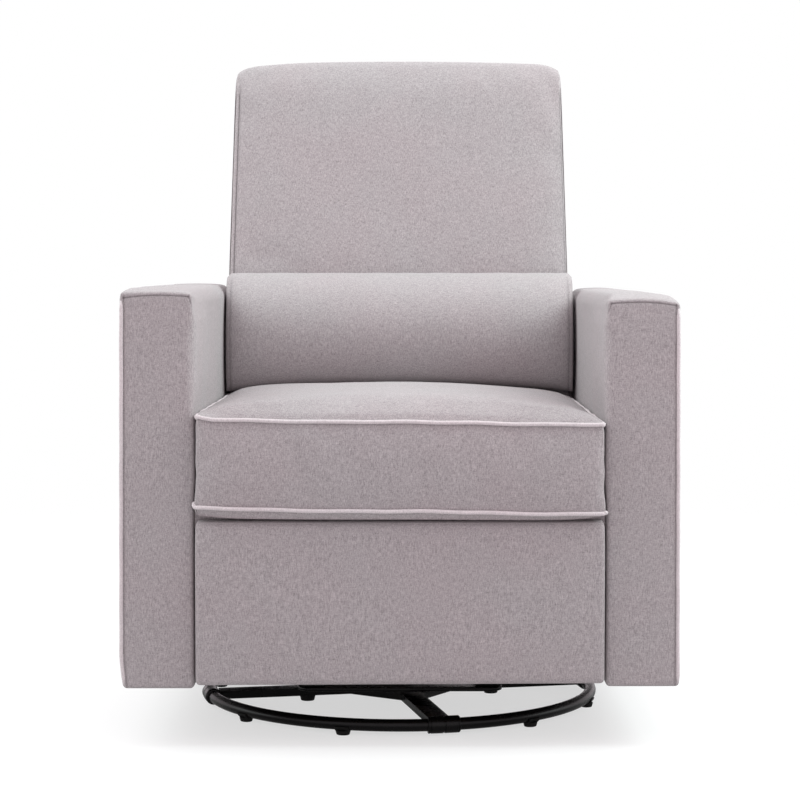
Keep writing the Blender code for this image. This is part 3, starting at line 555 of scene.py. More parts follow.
def arm(name, side, drop, fall, bow, foot):
    """A track arm: the facing's seam runs along its top and down its outer edge, and the rest is one wrap.
    Its top stands lower by the drop, falls away towards the facing, and bows down to its outer edge.
    The cloth hangs below the CAD arm by the foot."""
    low, high = box_of("arm_" + name)
    front = box_of("arm_facing_" + name)[0][1]
    inner, outer = sorted((abs(low[0]), abs(high[0])))
    rear, bottom, top, seam = high[1], low[2], ARM_TOP, ARM_SEAM
    strip, turn = outer - ARM_STRIP, inner + ARM_TURN
    xs = [inner + 0.0016 * i for i in range(9)] + lines(inner + 0.016, strip - 0.0055, 0.010)
    xs += [strip + step for step in (-0.0034, -0.0009, 0.0, 0.0009)]
    xs += [outer - step for step in (0.0034, 0.0018, 0.0006, 0.0)]
    ys = lines(front, rear, 0.016, 0.030, 0.008)
    zs = lines(bottom, seam - 0.040, 0.016, 0.009, 0.0) + lines(seam - 0.037, top, 0.003, 0.0, 0.0, (seam,))
    widen = 0.0040 if side < 0 else 0.0026

    def flare(z):
        """How far the outer face stands out: more towards the floor, but drawn in at its foot."""
        outward = 0.0010 + widen * np.clip((top - z) / (top - bottom), 0, 1)
        return outward - 1.4 * foot * (1 - smooth_step(z, bottom - foot, bottom + 0.050))

    def shape(p):
        x, y, z = p.T.copy()
        on_front = y < front + NEAR
        # The inner front edge is soft between the seat and the seam's corner,
        # and so is the inner top edge behind it
        near_front = 1 - smooth_step(y, front + 0.006, front + 0.070)
        soft = smooth_step(z, 0.44, 0.50) * (1 - smooth_step(z, seam - 0.060, seam - 0.012))
        r_x = 0.006 + 0.007 * soft + 0.014 * (1 - near_front) * smooth_step(z, 0.54, 0.60)
        r_y = 0.005 + 0.013 * soft
        r_z = 0.006 + 0.015 * (1 - smooth_step(x, inner + 0.018, inner + 0.045)) * (1 - near_front)
        flat_r = np.ones_like(x)
        r_low = np.stack([r_x, r_y, 0.008 * flat_r], 1)
        r_high = np.stack([0.0060 * flat_r, 0.008 * flat_r, r_z], 1)
        q = rounded(p, (inner, front, bottom), (outer, rear, top), r_low, r_high)
        middle = (inner + outer) / 2 - 0.002  # the crown's highest line
        reach = np.where(x > middle, (x - middle) / (outer - middle), (middle - x) / (middle - inner))
        crown = -np.where(x > middle, np.interp(z, (seam, top), bow), 0.0024) * reach ** 2
        # The top slopes up from the facing, then runs level
        slope = -fall * (1 - smooth_step(y, front - 0.100, front + 0.110))
        near_top = smooth_step(z, seam - 0.16, seam)
        raised = (crown + slope * smooth_step(z, seam - 0.10, seam)) * near_top
        q[:, 2] += raised - drop * smooth_step(z, 0.46, seam)
        q[:, 2] -= foot * (1 - smooth_step(z, bottom, bottom + 0.060))
        # The padding stands out: inwards above the cushion's foot, and outwards all the way down
        ahead = 1 - smooth_step(y, front + 0.110, front + 0.300)
        swell = 0.0022 * smooth_step(z, 0.338, 0.380)
        swell += 0.0020 * smooth_step(z, 0.475, 0.510)  # and more above its top
        swell *= (1 - smooth_step(z, seam - 0.045, seam - 0.004)) * ahead
        q[:, 0] -= swell * (1 - smooth_step(x, inner, inner + 0.030))
        q[:, 0] += flare(z) * smooth_step(x, middle, outer)
        # The facing is puffed a little between its seams
        puff = np.clip(1 - ((x - middle) / 0.05) ** 2, 0, 1)
        q[:, 1] -= on_front * 0.0014 * puff * smooth_step(seam - z, 0, 0.03)
        cut = groove(z - seam) * smooth_step(x, turn - 0.001, turn + 0.001)
        cut *= 1 - smooth_step(x, strip + 0.001, strip + 0.004)
        fade = smooth_step(z, seam - 0.030, seam - 0.002) * (z < seam + 0.001)
        down = groove(x - turn + ARM_SLANT * np.clip(seam - z, 0, 1), 0.0011) * fade
        edge = groove(x - strip) * (z < seam + 0.0015)
        # Painted shade along the facing's seams and beside the welt: darkens the cloth in their grooves
        marks.append(on_front * np.clip(0.75 * cut + 0.7 * down + 0.55 * edge, 0, 1))
        q[:, 1] += on_front * SEAM_DEPTH * np.clip(0.7 * cut + 0.5 * down + 0.6 * edge, 0, 1)
        flat = ripple(p, 0.16, 5) * 0.0007 + ripple(p, 0.05, 9) * 0.0002
        keep = smooth_step(np.abs(x - middle), 0.0, 0.04)
        q[:, 1] += on_front * flat
        q[:, 2] += (z > top - NEAR) * flat * 1.6
        q[:, 0] += keep * np.sign(x - middle) * np.minimum(flat, 0) * 1.4
        q[:, 0] *= side
        return q

    marks = []
    obj, _, _ = panel_box("arm_cover_" + name, xs, ys, zs, shape, COVER)
    paint_seam_shade(obj, marks[0])
    finish_cover(obj, "chair", 0.75, "arm_" + name, "arm_facing_" + name)
    # A welt runs up the outer front edge and ends under the seam
    path = []
    for z in np.linspace(bottom + 0.005 - foot, seam - 0.0025 - drop - 0.54 * fall - bow[0], 48):
        path.append((side * (outer - WELT + flare(z) + 0.0002 * math.sin(z * 70)), front + 0.0016, z))
    cord = tube("arm_welt_" + name, path, WELT, PIPING_PAINTED_HIGHLIGHT)
    ride(cord, "chair", "upholstery")


def seat_rise(x, y, low, high):
    """How far the seat's top stands above its welt."""
    u = np.clip(np.abs(x) / high[0], 0, 1)
    share = np.clip((y - low[1]) / (high[1] - low[1]), 0, 1)
    swell = np.where(share < 0.10, np.sqrt(share / 0.10), 1.0)
    swell *= 1 - 0.65 * np.clip((share - 0.45) / 0.55, 0, 1) ** 1.6
    edge = 0.0105 * np.minimum(1, 1.6 * swell) * (1 - u ** 24)
    return edge + 0.0225 * swell * (1 - u ** 2.4)


def tilt(x):
    """The cushion sits slightly crooked: its welts are higher on the left."""
    return -x / 0.283 + 0.2 * np.sin(x * 21.0 + 0.6)


def seat():
    """The seat's cover: a crowned top over a straight band, which hangs over the front rail."""
    low, high = box_of("seat_cushion")
    deck = box_of("seat_frame")[1][2] + 0.001
    low_welt, top_welt = low[2] + LOW_WELT, TOP_WELT
    a, b = low.copy(), high.copy()
    a += (-0.0006, 0.0034, 0.0045)
    b[0] += 0.0006
    b[2] = top_welt
    xs = lines(a[0], b[0], 0.015, 0.009, 0.009)
    ys = lines(a[1], b[1], 0.015, 0.009, 0.012, (LIP,))
    zs = [a[2], a[2] + 0.004] + [low_welt + (top_welt - low_welt) * i / 10 for i in range(11)]

    def shape(p):
        x, y, z = p.T.copy()
        q = rounded(p, a, b, (0.009, 0.009, 0.0), (0.009, 0.010, 0.0))
        on_top = z > top_welt - NEAR
        q[:, 2] += on_top * seat_rise(x, y, a, b)
        under = deck - a[2]
        back = smooth_step(y, LIP - 0.001, LIP + 0.001)
        q[:, 2] += back * under * np.clip((top_welt - z) / (top_welt - a[2]), 0, 1)
        q[:, 2] += tilt(x) * np.interp(z, (a[2], low_welt, top_welt), (0.0010, 0.0042, 0.0030))
        # Its foot is drawn up towards both sides
        q[:, 2] += (0.0006 + 0.0056 * np.abs(x / b[0]) ** 10) * (z < low_welt - NEAR) * (y < LIP)
        band = np.clip((z - low_welt) / (top_welt - low_welt), 0, 1)
        # The left front corner is drawn up by its welt
        lift = smooth_step(-x, -a[0] - 0.022, -a[0]) * (1 - smooth_step(y, -0.36, 0.10))
        q[:, 2] += 0.0045 * lift * smooth_step(band, 0.55, 1.0)
        puff = 4 * band * (1 - band)
        at_front = y < a[1] + NEAR
        at_side = np.abs(x) > b[0] - NEAR
        q[:, 1] -= at_front * 0.0030 * puff * (1 - np.clip(np.abs(x) / b[0], 0, 1) ** 8)
        q[:, 0] += at_side * np.sign(x) * (0.0004 * puff + 0.0007 * puff * ripple(p, 0.035, 8))
        flare = 0.0022 * (1 - smooth_step(z, low_welt + 0.004, low_welt + 0.042))
        q[:, 0] += np.sign(x) * flare * smooth_step(np.abs(x), b[0] - 0.03, b[0])
        tucked = z < low_welt - NEAR
        q[:, 1] += (at_front & tucked) * 0.0035
        q[:, 2] += on_top * (0.0011 * ripple(p, 0.11, 3) + 0.0004 * ripple(p, 0.035, 4))
        q[:, 1] += at_front * (0.0007 * ripple(p, 0.09, 6))
        return q

    obj, flat, index = panel_box("seat_cover", xs, ys, zs, shape, COVER)
    on_welt = np.isclose(flat[:, 2], top_welt) & (
        np.isclose(np.abs(flat[:, 0]), b[0]) | np.isclose(flat[:, 1], a[1]) | np.isclose(flat[:, 1], b[1]))
    low_line = flat[:, 2] < low_welt + NEAR
    inside = (flat[:, 2] < top_welt - NEAR) & ~np.isclose(flat[:, 1], a[1])
    held = np.where(on_welt | low_line, 1.0, np.where(inside, 0.9, 0.0))
    inflate_later(obj, held, pressure=3.0, cap=0.004)
    FINAL.append(lambda: finish_seat(obj, index, xs, ys, zs, low_welt, top_welt))


def rail_cover():
    """The front rail of the seat frame, wrapped in the cover's own cloth."""
    low, high = box_of("seat_frame")
    rail_foot, rail_rear = 0.3062, -0.3642
    lo = np.array((low[0] - 0.0001, low[1] - 0.0018, rail_foot))
    hi = np.array((high[0] + 0.0001, rail_rear, high[2] + 0.0003))
    xs = lines(lo[0], hi[0], 0.03, 0.003, 0.003)
    ys = lines(lo[1], hi[1], 0.008, 0.003, 0.003)
    zs = lines(lo[2], hi[2], 0.010, 0.003, 0.003)

    def shape(p):
        q = rounded(p, lo, hi, (0.002, 0.003, 0.003), (0.002, 0.003, 0.002))
        q[:, 1] += (p[:, 1] < lo[1] + NEAR) * 0.0004 * ripple(p, 0.05, 61)
        return q

    obj, _, _ = panel_box("rail_cover", xs, ys, zs, shape, COVER)
    finish_cover(obj, "chair", 0.3)


def loop_keys(xs, ys, level):
    """The keys round a box's rim at one level, in order."""
    nx, ny = len(xs) - 1, len(ys) - 1
    keys = [(i, 0, level) for i in range(nx + 1)] + [(nx, j, level) for j in range(1, ny + 1)]
    keys += [(i, ny, level) for i in range(nx - 1, -1, -1)]
    return keys + [(0, j, level) for j in range(ny - 1, 0, -1)]


def finish_seat(obj, index, xs, ys, zs, low_welt, top_welt):
    """Lays the welts on the swollen cover: the top one all round, and the low one along its front."""
    subdivide(obj)
    for name, level in (("top", top_welt), ("low", low_welt)):
        k = int(np.argmin(np.abs(np.array(zs) - level)))
        keys = loop_keys(xs, ys, k)
        round_all = name == "top"
        if not round_all:
            returns = sum(y < LIP - 0.006 for y in ys) - 1
            keys = keys[-returns:] + keys[:len(xs) + returns]
        found, normals = shown_points(obj, [index[key] for key in keys])
        outward = normals.copy()
        outward[:, 2] *= 0.4
        outward /= np.linalg.norm(outward, axis=1, keepdims=True)
        path = found + outward * WELT * (0.85 - 0.45 * normals[:, :1] ** 2)
        path[:, 2] += 0.0004 * np.sin(np.arange(len(path)) * 0.9)
        if not round_all:
            path[:returns, 2] += 0.0050 * np.linspace(1, 0, returns) ** 1.5
        cord = tube("seat_welt_" + name, path, WELT, PIPING_PAINTED_HIGHLIGHT, closed=round_all)
        ride(cord, "chair", "upholstery")
    ride(obj, "chair", "upholstery", "seat_cushion")


def footrest():
    """The footrest's cover, which closes the chair's front at rest."""
    low, high = box_of("footrest_pad")
    high[2] += 0.0078  # up to the seat's band, so that no wide slot shows under it
    rail_foot, rail_above = 0.297, 0.305  # the wrapped rail stands behind the cover from about here up
    xs = lines(low[0], high[0], 0.020, 0.008, 0.008)
    ys = lines(low[1], high[1], 0.012, 0.007, 0.003)
    zs = sorted(lines(low[2], high[2], 0.016, 0.008, 0.014) + [rail_above])

    def shape(p):
        x, y, z = p.T.copy()
        r_front = 0.007 + 0.004 * smooth_step(z, high[2] - 0.040, high[2] - 0.014)
        same = np.ones_like(z)
        r_low = np.stack([0.006 * same, r_front, 0.008 * same], 1)
        q = rounded(p, low, high, r_low, (0.006, 0.002, 0.014))
        # Its rear is cut back before the rail, so that it swings clear
        q[:, 1] = np.minimum(q[:, 1], high[1] - 0.0050 * smooth_step(z, rail_foot, rail_above))
        at_front = y < low[1] + NEAR
        u, v = 2 * x / (high[0] - low[0]), (2 * z - low[2] - high[2]) / (high[2] - low[2])
        q[:, 1] -= at_front * 0.0022 * (1 - np.clip(u, -1, 1) ** 6) * (1 - np.clip(v, -1, 1) ** 4)
        q[:, 1] += at_front * (0.0009 * ripple(p, 0.16, 12) + 0.0003 * ripple(p, 0.05, 13) + 0.0006)
        # Its foot hangs a little lower on the left
        q[:, 2] -= (0.0018 - 0.0014 * u) * (1 - smooth_step(z, low[2], low[2] + 0.060))
        return q

    obj, _, _ = panel_box("footrest_cover", xs, ys, zs, shape, COVER)
    finish_cover(obj, "footboard", 0.7, "footrest_pad")


def back_pad():
    """The back's front pad, puffed between a seam near each side."""
    low, high = (-BACK_HALF, 0.0006, PAD_FOOT), (BACK_HALF, PAD_THICK, PAD_TOP)
    strips = (low[0] + PAD_SEAMS[0], high[0] - PAD_SEAMS[1])
    xs = lines(low[0], high[0], 0.018, 0.003, 0.003, strips)
    ns = lines(low[1], high[1], 0.014, 0.003, 0.014)
    ss = lines(low[2], high[2], 0.018, 0.012, 0.018)

    def shape(p):
        x, n, s = p.T.copy()
        q = rounded(p, low, high, (0.0045, 0.002, 0.010), (0.0045, 0.012, 0.016))
        u = np.clip(x / high[0], -1, 1)
        v = (s - low[2]) / (high[2] - low[2])
        q[:, 2] += back_top(u, 0.0058, 0.0130) * smooth_step(s, 0.54, high[2])
        lean = smooth_step(s, high[2] - 0.055, high[2])
        q[:, 1] -= 0.0085 * lean ** 2 * smooth_step(n, 0.0, high[1])
        at_front = n > high[1] - NEAR
        q[:, 1] += at_front * 0.004 * (1 - u ** 6) * np.clip(4 * v * (1 - v), 0, 1) ** 0.5
        ends = 1 - smooth_step(s, SEAMS_END, SEAMS_END + 0.030)
        seam = (groove(x - strips[0]) + 0.8 * groove(x - strips[1])) * ends
        q[:, 1] -= at_front * SEAM_DEPTH * seam
        # Outside its seams the boxing turns away to the side
        on_left, on_right = (strips[0] - x) / (strips[0] - low[0]), (x - strips[1]) / (high[0] - strips[1])
        away = np.clip(np.maximum(on_left, on_right), 0, 1)
        q[:, 1] -= at_front * 0.0050 * away * (1 - smooth_step(s, SEAMS_END, SEAMS_END + 0.040))
        # Painted shade in the pad's seams: darkens the cloth in their grooves
        marks.append(at_front * seam * 0.9)
        q[:, 1] += at_front * (0.0012 * ripple(p, 0.20, 21) + 0.0004 * ripple(p, 0.06, 22))
        q[:, 0] = across_back(q[:, 0] / high[0], s)
        return on_back(q)

    marks = []
    obj, flat, _ = panel_box("back_cover", xs, ns, ss, shape, COVER)
    paint_seam_shade(obj, marks[0])
    front = flat[:, 1] > high[1] - NEAR
    near_side = np.abs(flat[:, 0]) > high[0] - 0.016
    held = np.where(front & ~near_side, 0.0, 1.0)
    # Behind the pillow and near its top the pad swells less
    calm = (flat[:, 2] < 0.29) | (flat[:, 2] > 0.63)
    held = np.where(front & ~near_side & calm, 0.8, held)
    inflate_later(obj, held, pressure=1.6, cap=0.005)
    FINAL.append(lambda: finish_cover(obj, "back", 0.7, "back_pad"))


def pillow_profile(t):
    """The pillow's outline in (s, n), from its top edge (t=0) round the front to its foot (t=1)."""
    ats = np.array((0.0, 0.05, 0.14, 0.26, 0.40, 0.56, 0.72, 0.86, 0.95, 1.0))
    run_s = np.array((0.2875, 0.2885, 0.2800, 0.2600, 0.2320, 0.1940, 0.1550, 0.1220, 0.1040, 0.1000))
    run_n = np.array((0.0000, 0.0130, 0.0370, 0.0600, 0.0780, 0.0860, 0.0800, 0.0640, 0.0460, 0.0300))
    return spline(ats, run_s, t), spline(ats, run_n, t)


def spline(ats, values, t):
    """A smooth curve through the values, with slopes limited so that it doesn't overshoot."""
    steps = np.diff(ats)
    rises = np.diff(values) / steps
    slopes = np.concatenate([[rises[0]], (rises[:-1] + rises[1:]) / 2, [rises[-1]]])
    for i, rise in enumerate(rises):
        bound = 3 * abs(rise)
        slopes[i] = np.clip(slopes[i], -bound, bound)
        slopes[i + 1] = np.clip(slopes[i + 1], -bound, bound)
    k = np.clip(np.searchsorted(ats, t, side="right") - 1, 0, len(steps) - 1)
    w = (t - ats[k]) / steps[k]
    h00, h10 = (1 + 2 * w) * (1 - w) ** 2, w * (1 - w) ** 2
    h01, h11 = w * w * (3 - 2 * w), w * w * (w - 1)
    start = h00 * values[k] + h10 * steps[k] * slopes[k]
    return start + h01 * values[k + 1] + h11 * steps[k] * slopes[k + 1]


def pillow():
    """The lumbar pillow hangs from its sewn top edge and rests on the seat."""
    left, right = -0.2886, 0.2868
    base = PAD_THICK + 0.0012
    top, foot = 0.2855, 0.1050  # its rear, up the back
    xs = lines(left, right, 0.012, 0.012, 0.012, (left + 0.010, right - 0.010))
    ts = [i / 34 for i in range(35)]
    ds = (0.0, 0.25, 0.5, 0.75, 1.0)

    def shape(p):
        x, d, t = p.T.copy()
        s_out, n_out = pillow_profile(t)
        centre, half = (left + right) / 2, (right - left) / 2
        u = np.clip((x - centre) / half, -1, 1)
        end = np.clip((np.abs(u) - 0.86) / 0.14, 0, 1)
        # Full to its ends, then closed by a boxed end with rounded corners
        fullness = 1 - 0.16 * np.abs(u) ** 6 - 0.16 * end ** 3
        n_out = n_out * fullness
        corner = smooth_step(np.abs(u), 0.965, 1.0)
        s_out = s_out - 0.0060 * corner ** 2 * (1 - smooth_step(t, 0.0, 0.30))
        sag = 0.0130 * np.abs(u) ** 2.2 * smooth_step(t, 0.45, 0.9)
        s_back = top + (foot - top) * t
        s_new = s_back + (s_out - s_back) * d - sag * smooth_step(d, 0.0, 0.6)
        n_new = base + n_out * d
        front = d > 1 - NEAR
        pucker = 0.0005 * np.sin(x * 95 + 2.2 * np.sin(x * 23)) + 0.0007 * ripple(p * (1, 0, 0.2), 0.05, 31)
        s_new += np.exp(-((t / 0.10) ** 2)) * d * pucker
        place = np.stack([x, n_new, s_new], 1)
        uneven = 0.0014 * ripple(place, 0.14, 32) + 0.0004 * ripple(place, 0.05, 33)
        n_new += front * uneven * smooth_step(t, 0, 0.2)
        seam = groove(np.abs(x - centre) - half + 0.010, 0.0010) * front * smooth_step(t, 0.1, 0.3)
        n_new -= 0.0016 * seam
        # Painted shade: darkens the end seams' grooves and the crease where the top edge is sewn to the pad
        edge = groove(t, 0.035) * (d < 0.1)
        marks.append(np.clip(0.45 * seam + edge, 0, 1))
        on_end = (np.abs(u) > 1 - NEAR) * smooth_step(t, 0.15, 0.4)
        x_new = x - np.sign(x) * (end ** 8 * 0.0026 * np.abs(2 * d - 1) ** 2)
        x_new -= np.sign(x) * on_end * 0.0016 * (1 + ripple(place, 0.022, 34)) * 0.5
        return on_back(np.stack([x_new, n_new, s_new], 1))

    marks = []
    obj, flat, _ = panel_box("pillow_cover", xs, list(ds), ts, shape, COVER)
    paint_seam_shade(obj, marks[0])
    ends = (flat[:, 0] < left + 0.012) | (flat[:, 0] > right - 0.012)
    held = np.where(flat[:, 1] < 0.99, 1.0, np.where(ends, 0.97, 0.0))
    held = np.where(flat[:, 2] > 0.80, np.maximum(held, 0.9), held)
    held = np.where(flat[:, 2] < 0.04, 1.0, held)
    inflate_later(obj, held, pressure=1.0, cap=0.003, slack=0.0)
    FINAL.append(lambda: finish_cover(obj, "back", 0.65, "lumbar_pillow"))


def back_shell():
    """The back's rear cover, with a seam near each side."""
    low, high = (-BACK_HALF, -0.0484, -0.034), (BACK_HALF, -0.0006, 0.655)
    xs = lines(low[0], high[0], 0.020, 0.008, 0.008, (low[0] + SHELL_SEAM, high[0] - SHELL_SEAM))
    ns = lines(low[1], high[1], 0.010, 0.006, 0.003)
    ss = lines(low[2], high[2], 0.018, 0.006, 0.014, (0.022,))

    def shape(p):
        x, n, s = p.T.copy()
        q = rounded(p, low, high, (0.007, 0.007, 0.004), (0.007, 0.002, 0.014))
        u = np.clip(x / high[0], -1, 1)
        v = np.clip((s - low[2]) / (high[2] - low[2]), 0, 1)
        q[:, 2] += back_top(u, 0.0054, 0.0110) * smooth_step(s, 0.5, high[2])
        rear = n < low[1] + NEAR
        q[:, 1] -= rear * 0.004 * (1 - u * u) * np.sin(math.pi * v)
        seam = groove(np.abs(x) - (high[0] - SHELL_SEAM))
        q[:, 1] += rear * SEAM_DEPTH * seam
        # Painted shade in the shell's seams: darkens the cloth in their grooves
        marks.append(rear * 0.8 * seam)
        q[:, 1] += rear * (0.0008 * ripple(p, 0.18, 41) + 0.0003)
        # Under the frame only the rear skin hangs down
        share = (n - low[1]) / (high[1] - low[1])
        thin = low[1] + 0.024 * share
        q[:, 1] = np.where((s < 0.0225) & ~rear, thin, q[:, 1])
        q[:, 0] = across_back(q[:, 0] / high[0], s)
        return on_back(q)

    marks = []
    obj, _, _ = panel_box("back_shell_cover", xs, ns, ss, shape, COVER)
    paint_seam_shade(obj, marks[0])
    finish_cover(obj, "back", 0.4, "back_shell")


def rear_panel():
    """The panel between the arms at the rear, with a seam under its top."""
    low, high = box_of("rear_panel")
    high[2] += 0.0020  # up behind the shell's foot, so that no light shows between the two
    xs = lines(low[0], high[0], 0.022, 0.005, 0.005)
    ys = lines(low[1], high[1], 0.007, 0.002, 0.004)
    zs = lines(low[2], high[2], 0.020, 0.004, 0.006, (high[2] - PANEL_SEAM,))

    def shape(p):
        _, y, z = p.T.copy()
        q = rounded(p, low, high, (0.003, 0.002, 0.003), (0.003, 0.004, 0.005))
        rear = y > high[1] - NEAR
        seam = groove(z - high[2] + PANEL_SEAM)
        q[:, 1] -= rear * SEAM_DEPTH * 0.7 * seam
        # Painted shade in the panel's seam: darkens the cloth in its groove
        marks.append(rear * 0.8 * seam)
        q[:, 1] += rear * (0.0007 * ripple(p, 0.15, 51) - 0.0004)
        return q

    marks = []
    obj, _, _ = panel_box("rear_cover", xs, ys, zs, shape, COVER)
    paint_seam_shade(obj, marks[0])
    finish_cover(obj, "chair", 0.3, "rear_panel")


# ---------------- hard parts


def soften(node, width=0.0007):
    """A copy of a CAD node with its edges broken, shown in its place."""
    source = frame["nodes"][node]
    obj = bpy.data.objects.new(node + "_shown", source.data.copy())
    bpy.context.scene.collection.objects.link(obj)
    bm = bmesh.new()
    bm.from_mesh(obj.data)
    bmesh.ops.remove_doubles(bm, verts=bm.verts, dist=NEAR)
    bmesh.ops.dissolve_limit(bm, angle_limit=math.radians(1.0), verts=bm.verts, edges=bm.edges)
    bm.to_mesh(obj.data)
    bm.free()
    bevel = obj.modifiers.new("edges", "BEVEL")
    bevel.width = width
    bevel.segments = 2
    bevel.limit_method = "ANGLE"
    bevel.angle_limit = math.radians(40)
    bevel.harden_normals = True
    obj.data.shade_smooth()
    return obj


def slot_of(node):
    for entry in frame["record"]["subparts"]:
        if entry["node"] == node:
            return entry["material_slot"]
    return None


def body_of(node):
    for body, members in frame["record"]["behaviour"]["bodies"].items():
        if node in members:
            return body
    return None


def hard_parts(skipped):
    """Every CAD node that isn't upholstery, with its edges broken and in its own finish."""
    for node in frame["nodes"]:
        slot = slot_of(node)
        if slot == "upholstery" or node in skipped:
            continue
        obj = soften(node)
        obj.data.materials.clear()
        obj.data.materials.append(FINISHES[slot])
        ride(obj, body_of(node), slot, node)


def base_ring():
    """The ring of round tube, with its sleeves and feet."""
    low, high = box_of("base_ring")
    tube_radius = (high[2] - low[2]) / 2
    centre = (low + high) / 2
    radius = (high[0] - low[0]) / 2 - tube_radius
    path = []
    for i in range(144):
        t = math.tau * i / 144
        path.append(centre + radius * np.array((math.sin(t), -math.cos(t), 0.0)))
    ring = tube("base_ring_tube", path, tube_radius, FINISHES["black_steel"], closed=True, sides=20)
    ride(ring, "base", "black_steel", "base_ring")
    for name in ("front", "right", "rear", "left"):
        sleeve(name, centre, radius)
    for number in range(1, 9):
        ring_foot(number, centre, radius, tube_radius)


def sleeve(name, centre, radius):
    """A pressed coupler round the ring, split in the middle, with rolled ends."""
    low, high = box_of("ring_sleeve_" + name)
    middle = (low + high) / 2
    outer = (high[2] - low[2]) / 2
    turn = math.atan2(middle[0] - centre[0], -(middle[1] - centre[1]))
    half = math.radians(4.5)
    end = ((0.045, 0.90), (0.06, 1.0), (0.81, 1.0), (0.83, 0.95), (0.86, 0.95), (0.88, 1.0),
           (0.95, 1.0), (0.985, 0.94), (1.0, 0.80))
    profile = [(-share, scale) for share, scale in end[::-1]] + list(end)
    verts, sides = [], 24
    for share, scale in profile:
        t = turn + half * share
        out = np.array((math.sin(t), -math.cos(t), 0.0))
        for k in range(sides):
            a = math.tau * k / sides
            r = outer * scale
            verts.append(centre + radius * out + r * (math.cos(a) * out + math.sin(a) * UP))
    # The rings run the other way round than a tube's, so the faces are turned over
    faces = [face[::-1] for face in loft_faces(len(profile), sides)]
    obj = new_object("sleeve_" + name, verts, faces, FINISHES["black_steel"])
    obj.data.set_sharp_from_angle(angle=math.radians(50))
    ride(obj, "base", "black_steel", "ring_sleeve_" + name)


def ring_foot(number, centre, radius, tube_radius):
    """A moulded foot: a pad under a clip that hugs the tube."""
    node = "ring_foot_%d" % number
    low, high = box_of(node)
    middle = (low + high) / 2
    out = np.array((middle[0] - centre[0], middle[1] - centre[1], 0.0))
    out /= np.linalg.norm(out)
    along = np.array((-out[1], out[0], 0.0))
    verts = []
    outer, inner = tube_radius + 0.0022, tube_radius + 0.0002
    arc = [math.radians(a) for a in range(-165, -14, 15)]
    axis = centre + radius * out
    stations = (-0.0105, -0.0095, 0.0095, 0.0105)
    for station, shrink in zip(stations, (0.0006, 0, 0, 0.0006)):
        for r, sign in ((outer - shrink, 1), (inner, -1)):
            for a in arc[::sign]:
                verts.append(axis + along * station + r * (math.cos(a) * out + math.sin(a) * UP))
    # The arcs run the other way round than a tube's rings, so the faces are turned over
    faces = [face[::-1] for face in loft_faces(len(stations), 2 * len(arc))]
    clip = new_object("foot_clip_%d" % number, verts, faces, FINISHES["black_plastic"], smooth=False)
    ride(clip, "base", "black_plastic")
    verts, sides = [], 20
    levels = ((0.0, 0.0078), (0.0005, 0.0087), (0.0042, 0.0098), (0.0064, 0.0102))
    for z, r in levels:
        for k in range(sides):
            a = math.tau * k / sides
            spoke = math.cos(a) * out * 0.95 + math.sin(a) * along * 1.1
            verts.append(middle * (1, 1, 0) + r * spoke + UP * z)
    faces = loft_faces(len(levels), sides)
    pad = new_object("foot_pad_%d" % number, verts, faces, FINISHES["black_plastic"])
    pad.data.set_sharp_from_angle(angle=math.radians(50))
    ride(pad, "base", "black_plastic", node)


# ---------------- stage


def softbox(name, place, size, energy, aim):
    """A soft rectangular light, turned towards the aim."""
    light = bpy.data.lights.new(name, "AREA")
    light.shape = "RECTANGLE"
    light.size, light.size_y = size
    light.energy = energy
    light.color = SOFTBOX_TINT
    lamp = bpy.data.objects.new(name, light)
    bpy.context.scene.collection.objects.link(lamp)
    lamp.location = place
    lamp.rotation_euler = (Vector(aim) - Vector(place)).to_track_quat("-Z", "Y").to_euler()


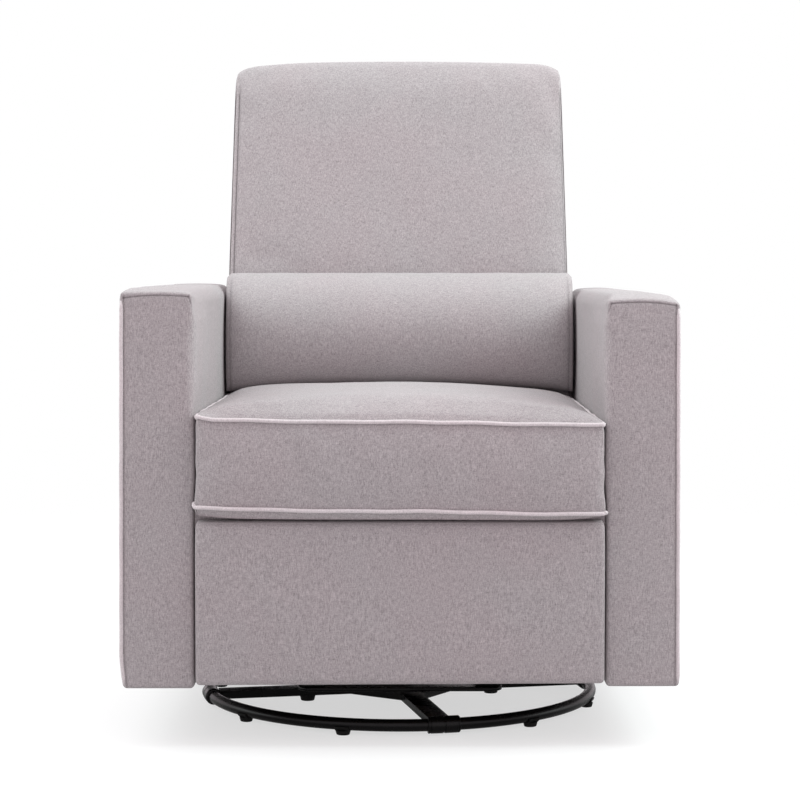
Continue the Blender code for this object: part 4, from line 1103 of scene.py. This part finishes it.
def stage():
    """A pale floor that fades out with distance, a white room, soft lights and the camera."""
    reach, rings, sides = 3.2, 24, 64
    verts = [(0.0, 0.0, 0.0)]
    faces = []
    for ring in range(1, rings + 1):
        r = reach * ring / rings
        turns = [math.tau * k / sides for k in range(sides)]
        verts += [(r * math.cos(turn), r * math.sin(turn), 0.0) for turn in turns]
    for k in range(sides):
        faces.append((0, 1 + k, 1 + (k + 1) % sides))
    for ring in range(rings - 1):
        a, b = 1 + ring * sides, 1 + (ring + 1) * sides
        for k in range(sides):
            m = (k + 1) % sides
            faces.append((a + k, b + k, b + m, a + m))
    floor = new_object("floor", verts, faces, pale_floor())
    world = bpy.data.worlds.new("studio")
    world.use_nodes = True
    tree = world.node_tree
    lit, seen = tree.nodes["Background"], tree.nodes.new("ShaderNodeBackground")
    lit.inputs["Color"].default_value = (*ROOM_TINT, 1.0)
    lit.inputs["Strength"].default_value = ROOM_LIGHT
    seen.inputs["Color"].default_value = WHITE
    path, mix = tree.nodes.new("ShaderNodeLightPath"), tree.nodes.new("ShaderNodeMixShader")
    tree.links.new(path.outputs["Is Camera Ray"], mix.inputs[0])
    tree.links.new(lit.outputs[0], mix.inputs[1])
    tree.links.new(seen.outputs[0], mix.inputs[2])
    tree.links.new(mix.outputs[0], tree.nodes["World Output"].inputs["Surface"])
    bpy.context.scene.world = world
    softbox("key", (0.0, 0.05, 2.7), (5.0, 1.5), 22.6, (0.0, 0.05, 0.0))
    softbox("near_right", (1.5, -0.55, 1.45), (0.6, 0.6), 4.6, (0.0, 0.2, 0.85))
    for name, x, high_power, low_power in (("left", -1.0, 26.7, 10.3), ("right", 1.0, 43.0, 10.3)):
        softbox("side_" + name, (2.2 * x, -0.15, 2.3), (1.5, 1.5), high_power, (0.0, 0.0, 0.5))
        softbox("rim_" + name, (3.2 * x, 0.05, 0.9), (2.0, 1.6), low_power, (0.0, 0.0, 0.6))
    camera = bpy.data.objects.new("camera", bpy.data.cameras.new("camera"))
    camera.data.lens = LENS
    camera.data.sensor_width = SENSOR
    camera.location = CAMERA_PLACE
    camera.rotation_euler = CAMERA_TURN
    bpy.context.scene.collection.objects.link(camera)
    bpy.context.scene.camera = camera
    bpy.context.scene.view_settings.view_transform = "Standard"


arm("left", -1, drop=0.0, fall=0.0100, bow=(0.0050, 0.0012), foot=0.0030)
arm("right", 1, drop=0.0070, fall=0.0150, bow=(0.0062, 0.0062), foot=0.0)
seat()
rail_cover()
footrest()
back_pad()
pillow()
back_shell()
rear_panel()
simulate()
for finish_piece in FINAL:
    finish_piece()
base_ring()
hard_parts({node for node in frame["nodes"] if node.startswith(("base_ring", "ring_"))})
stage()
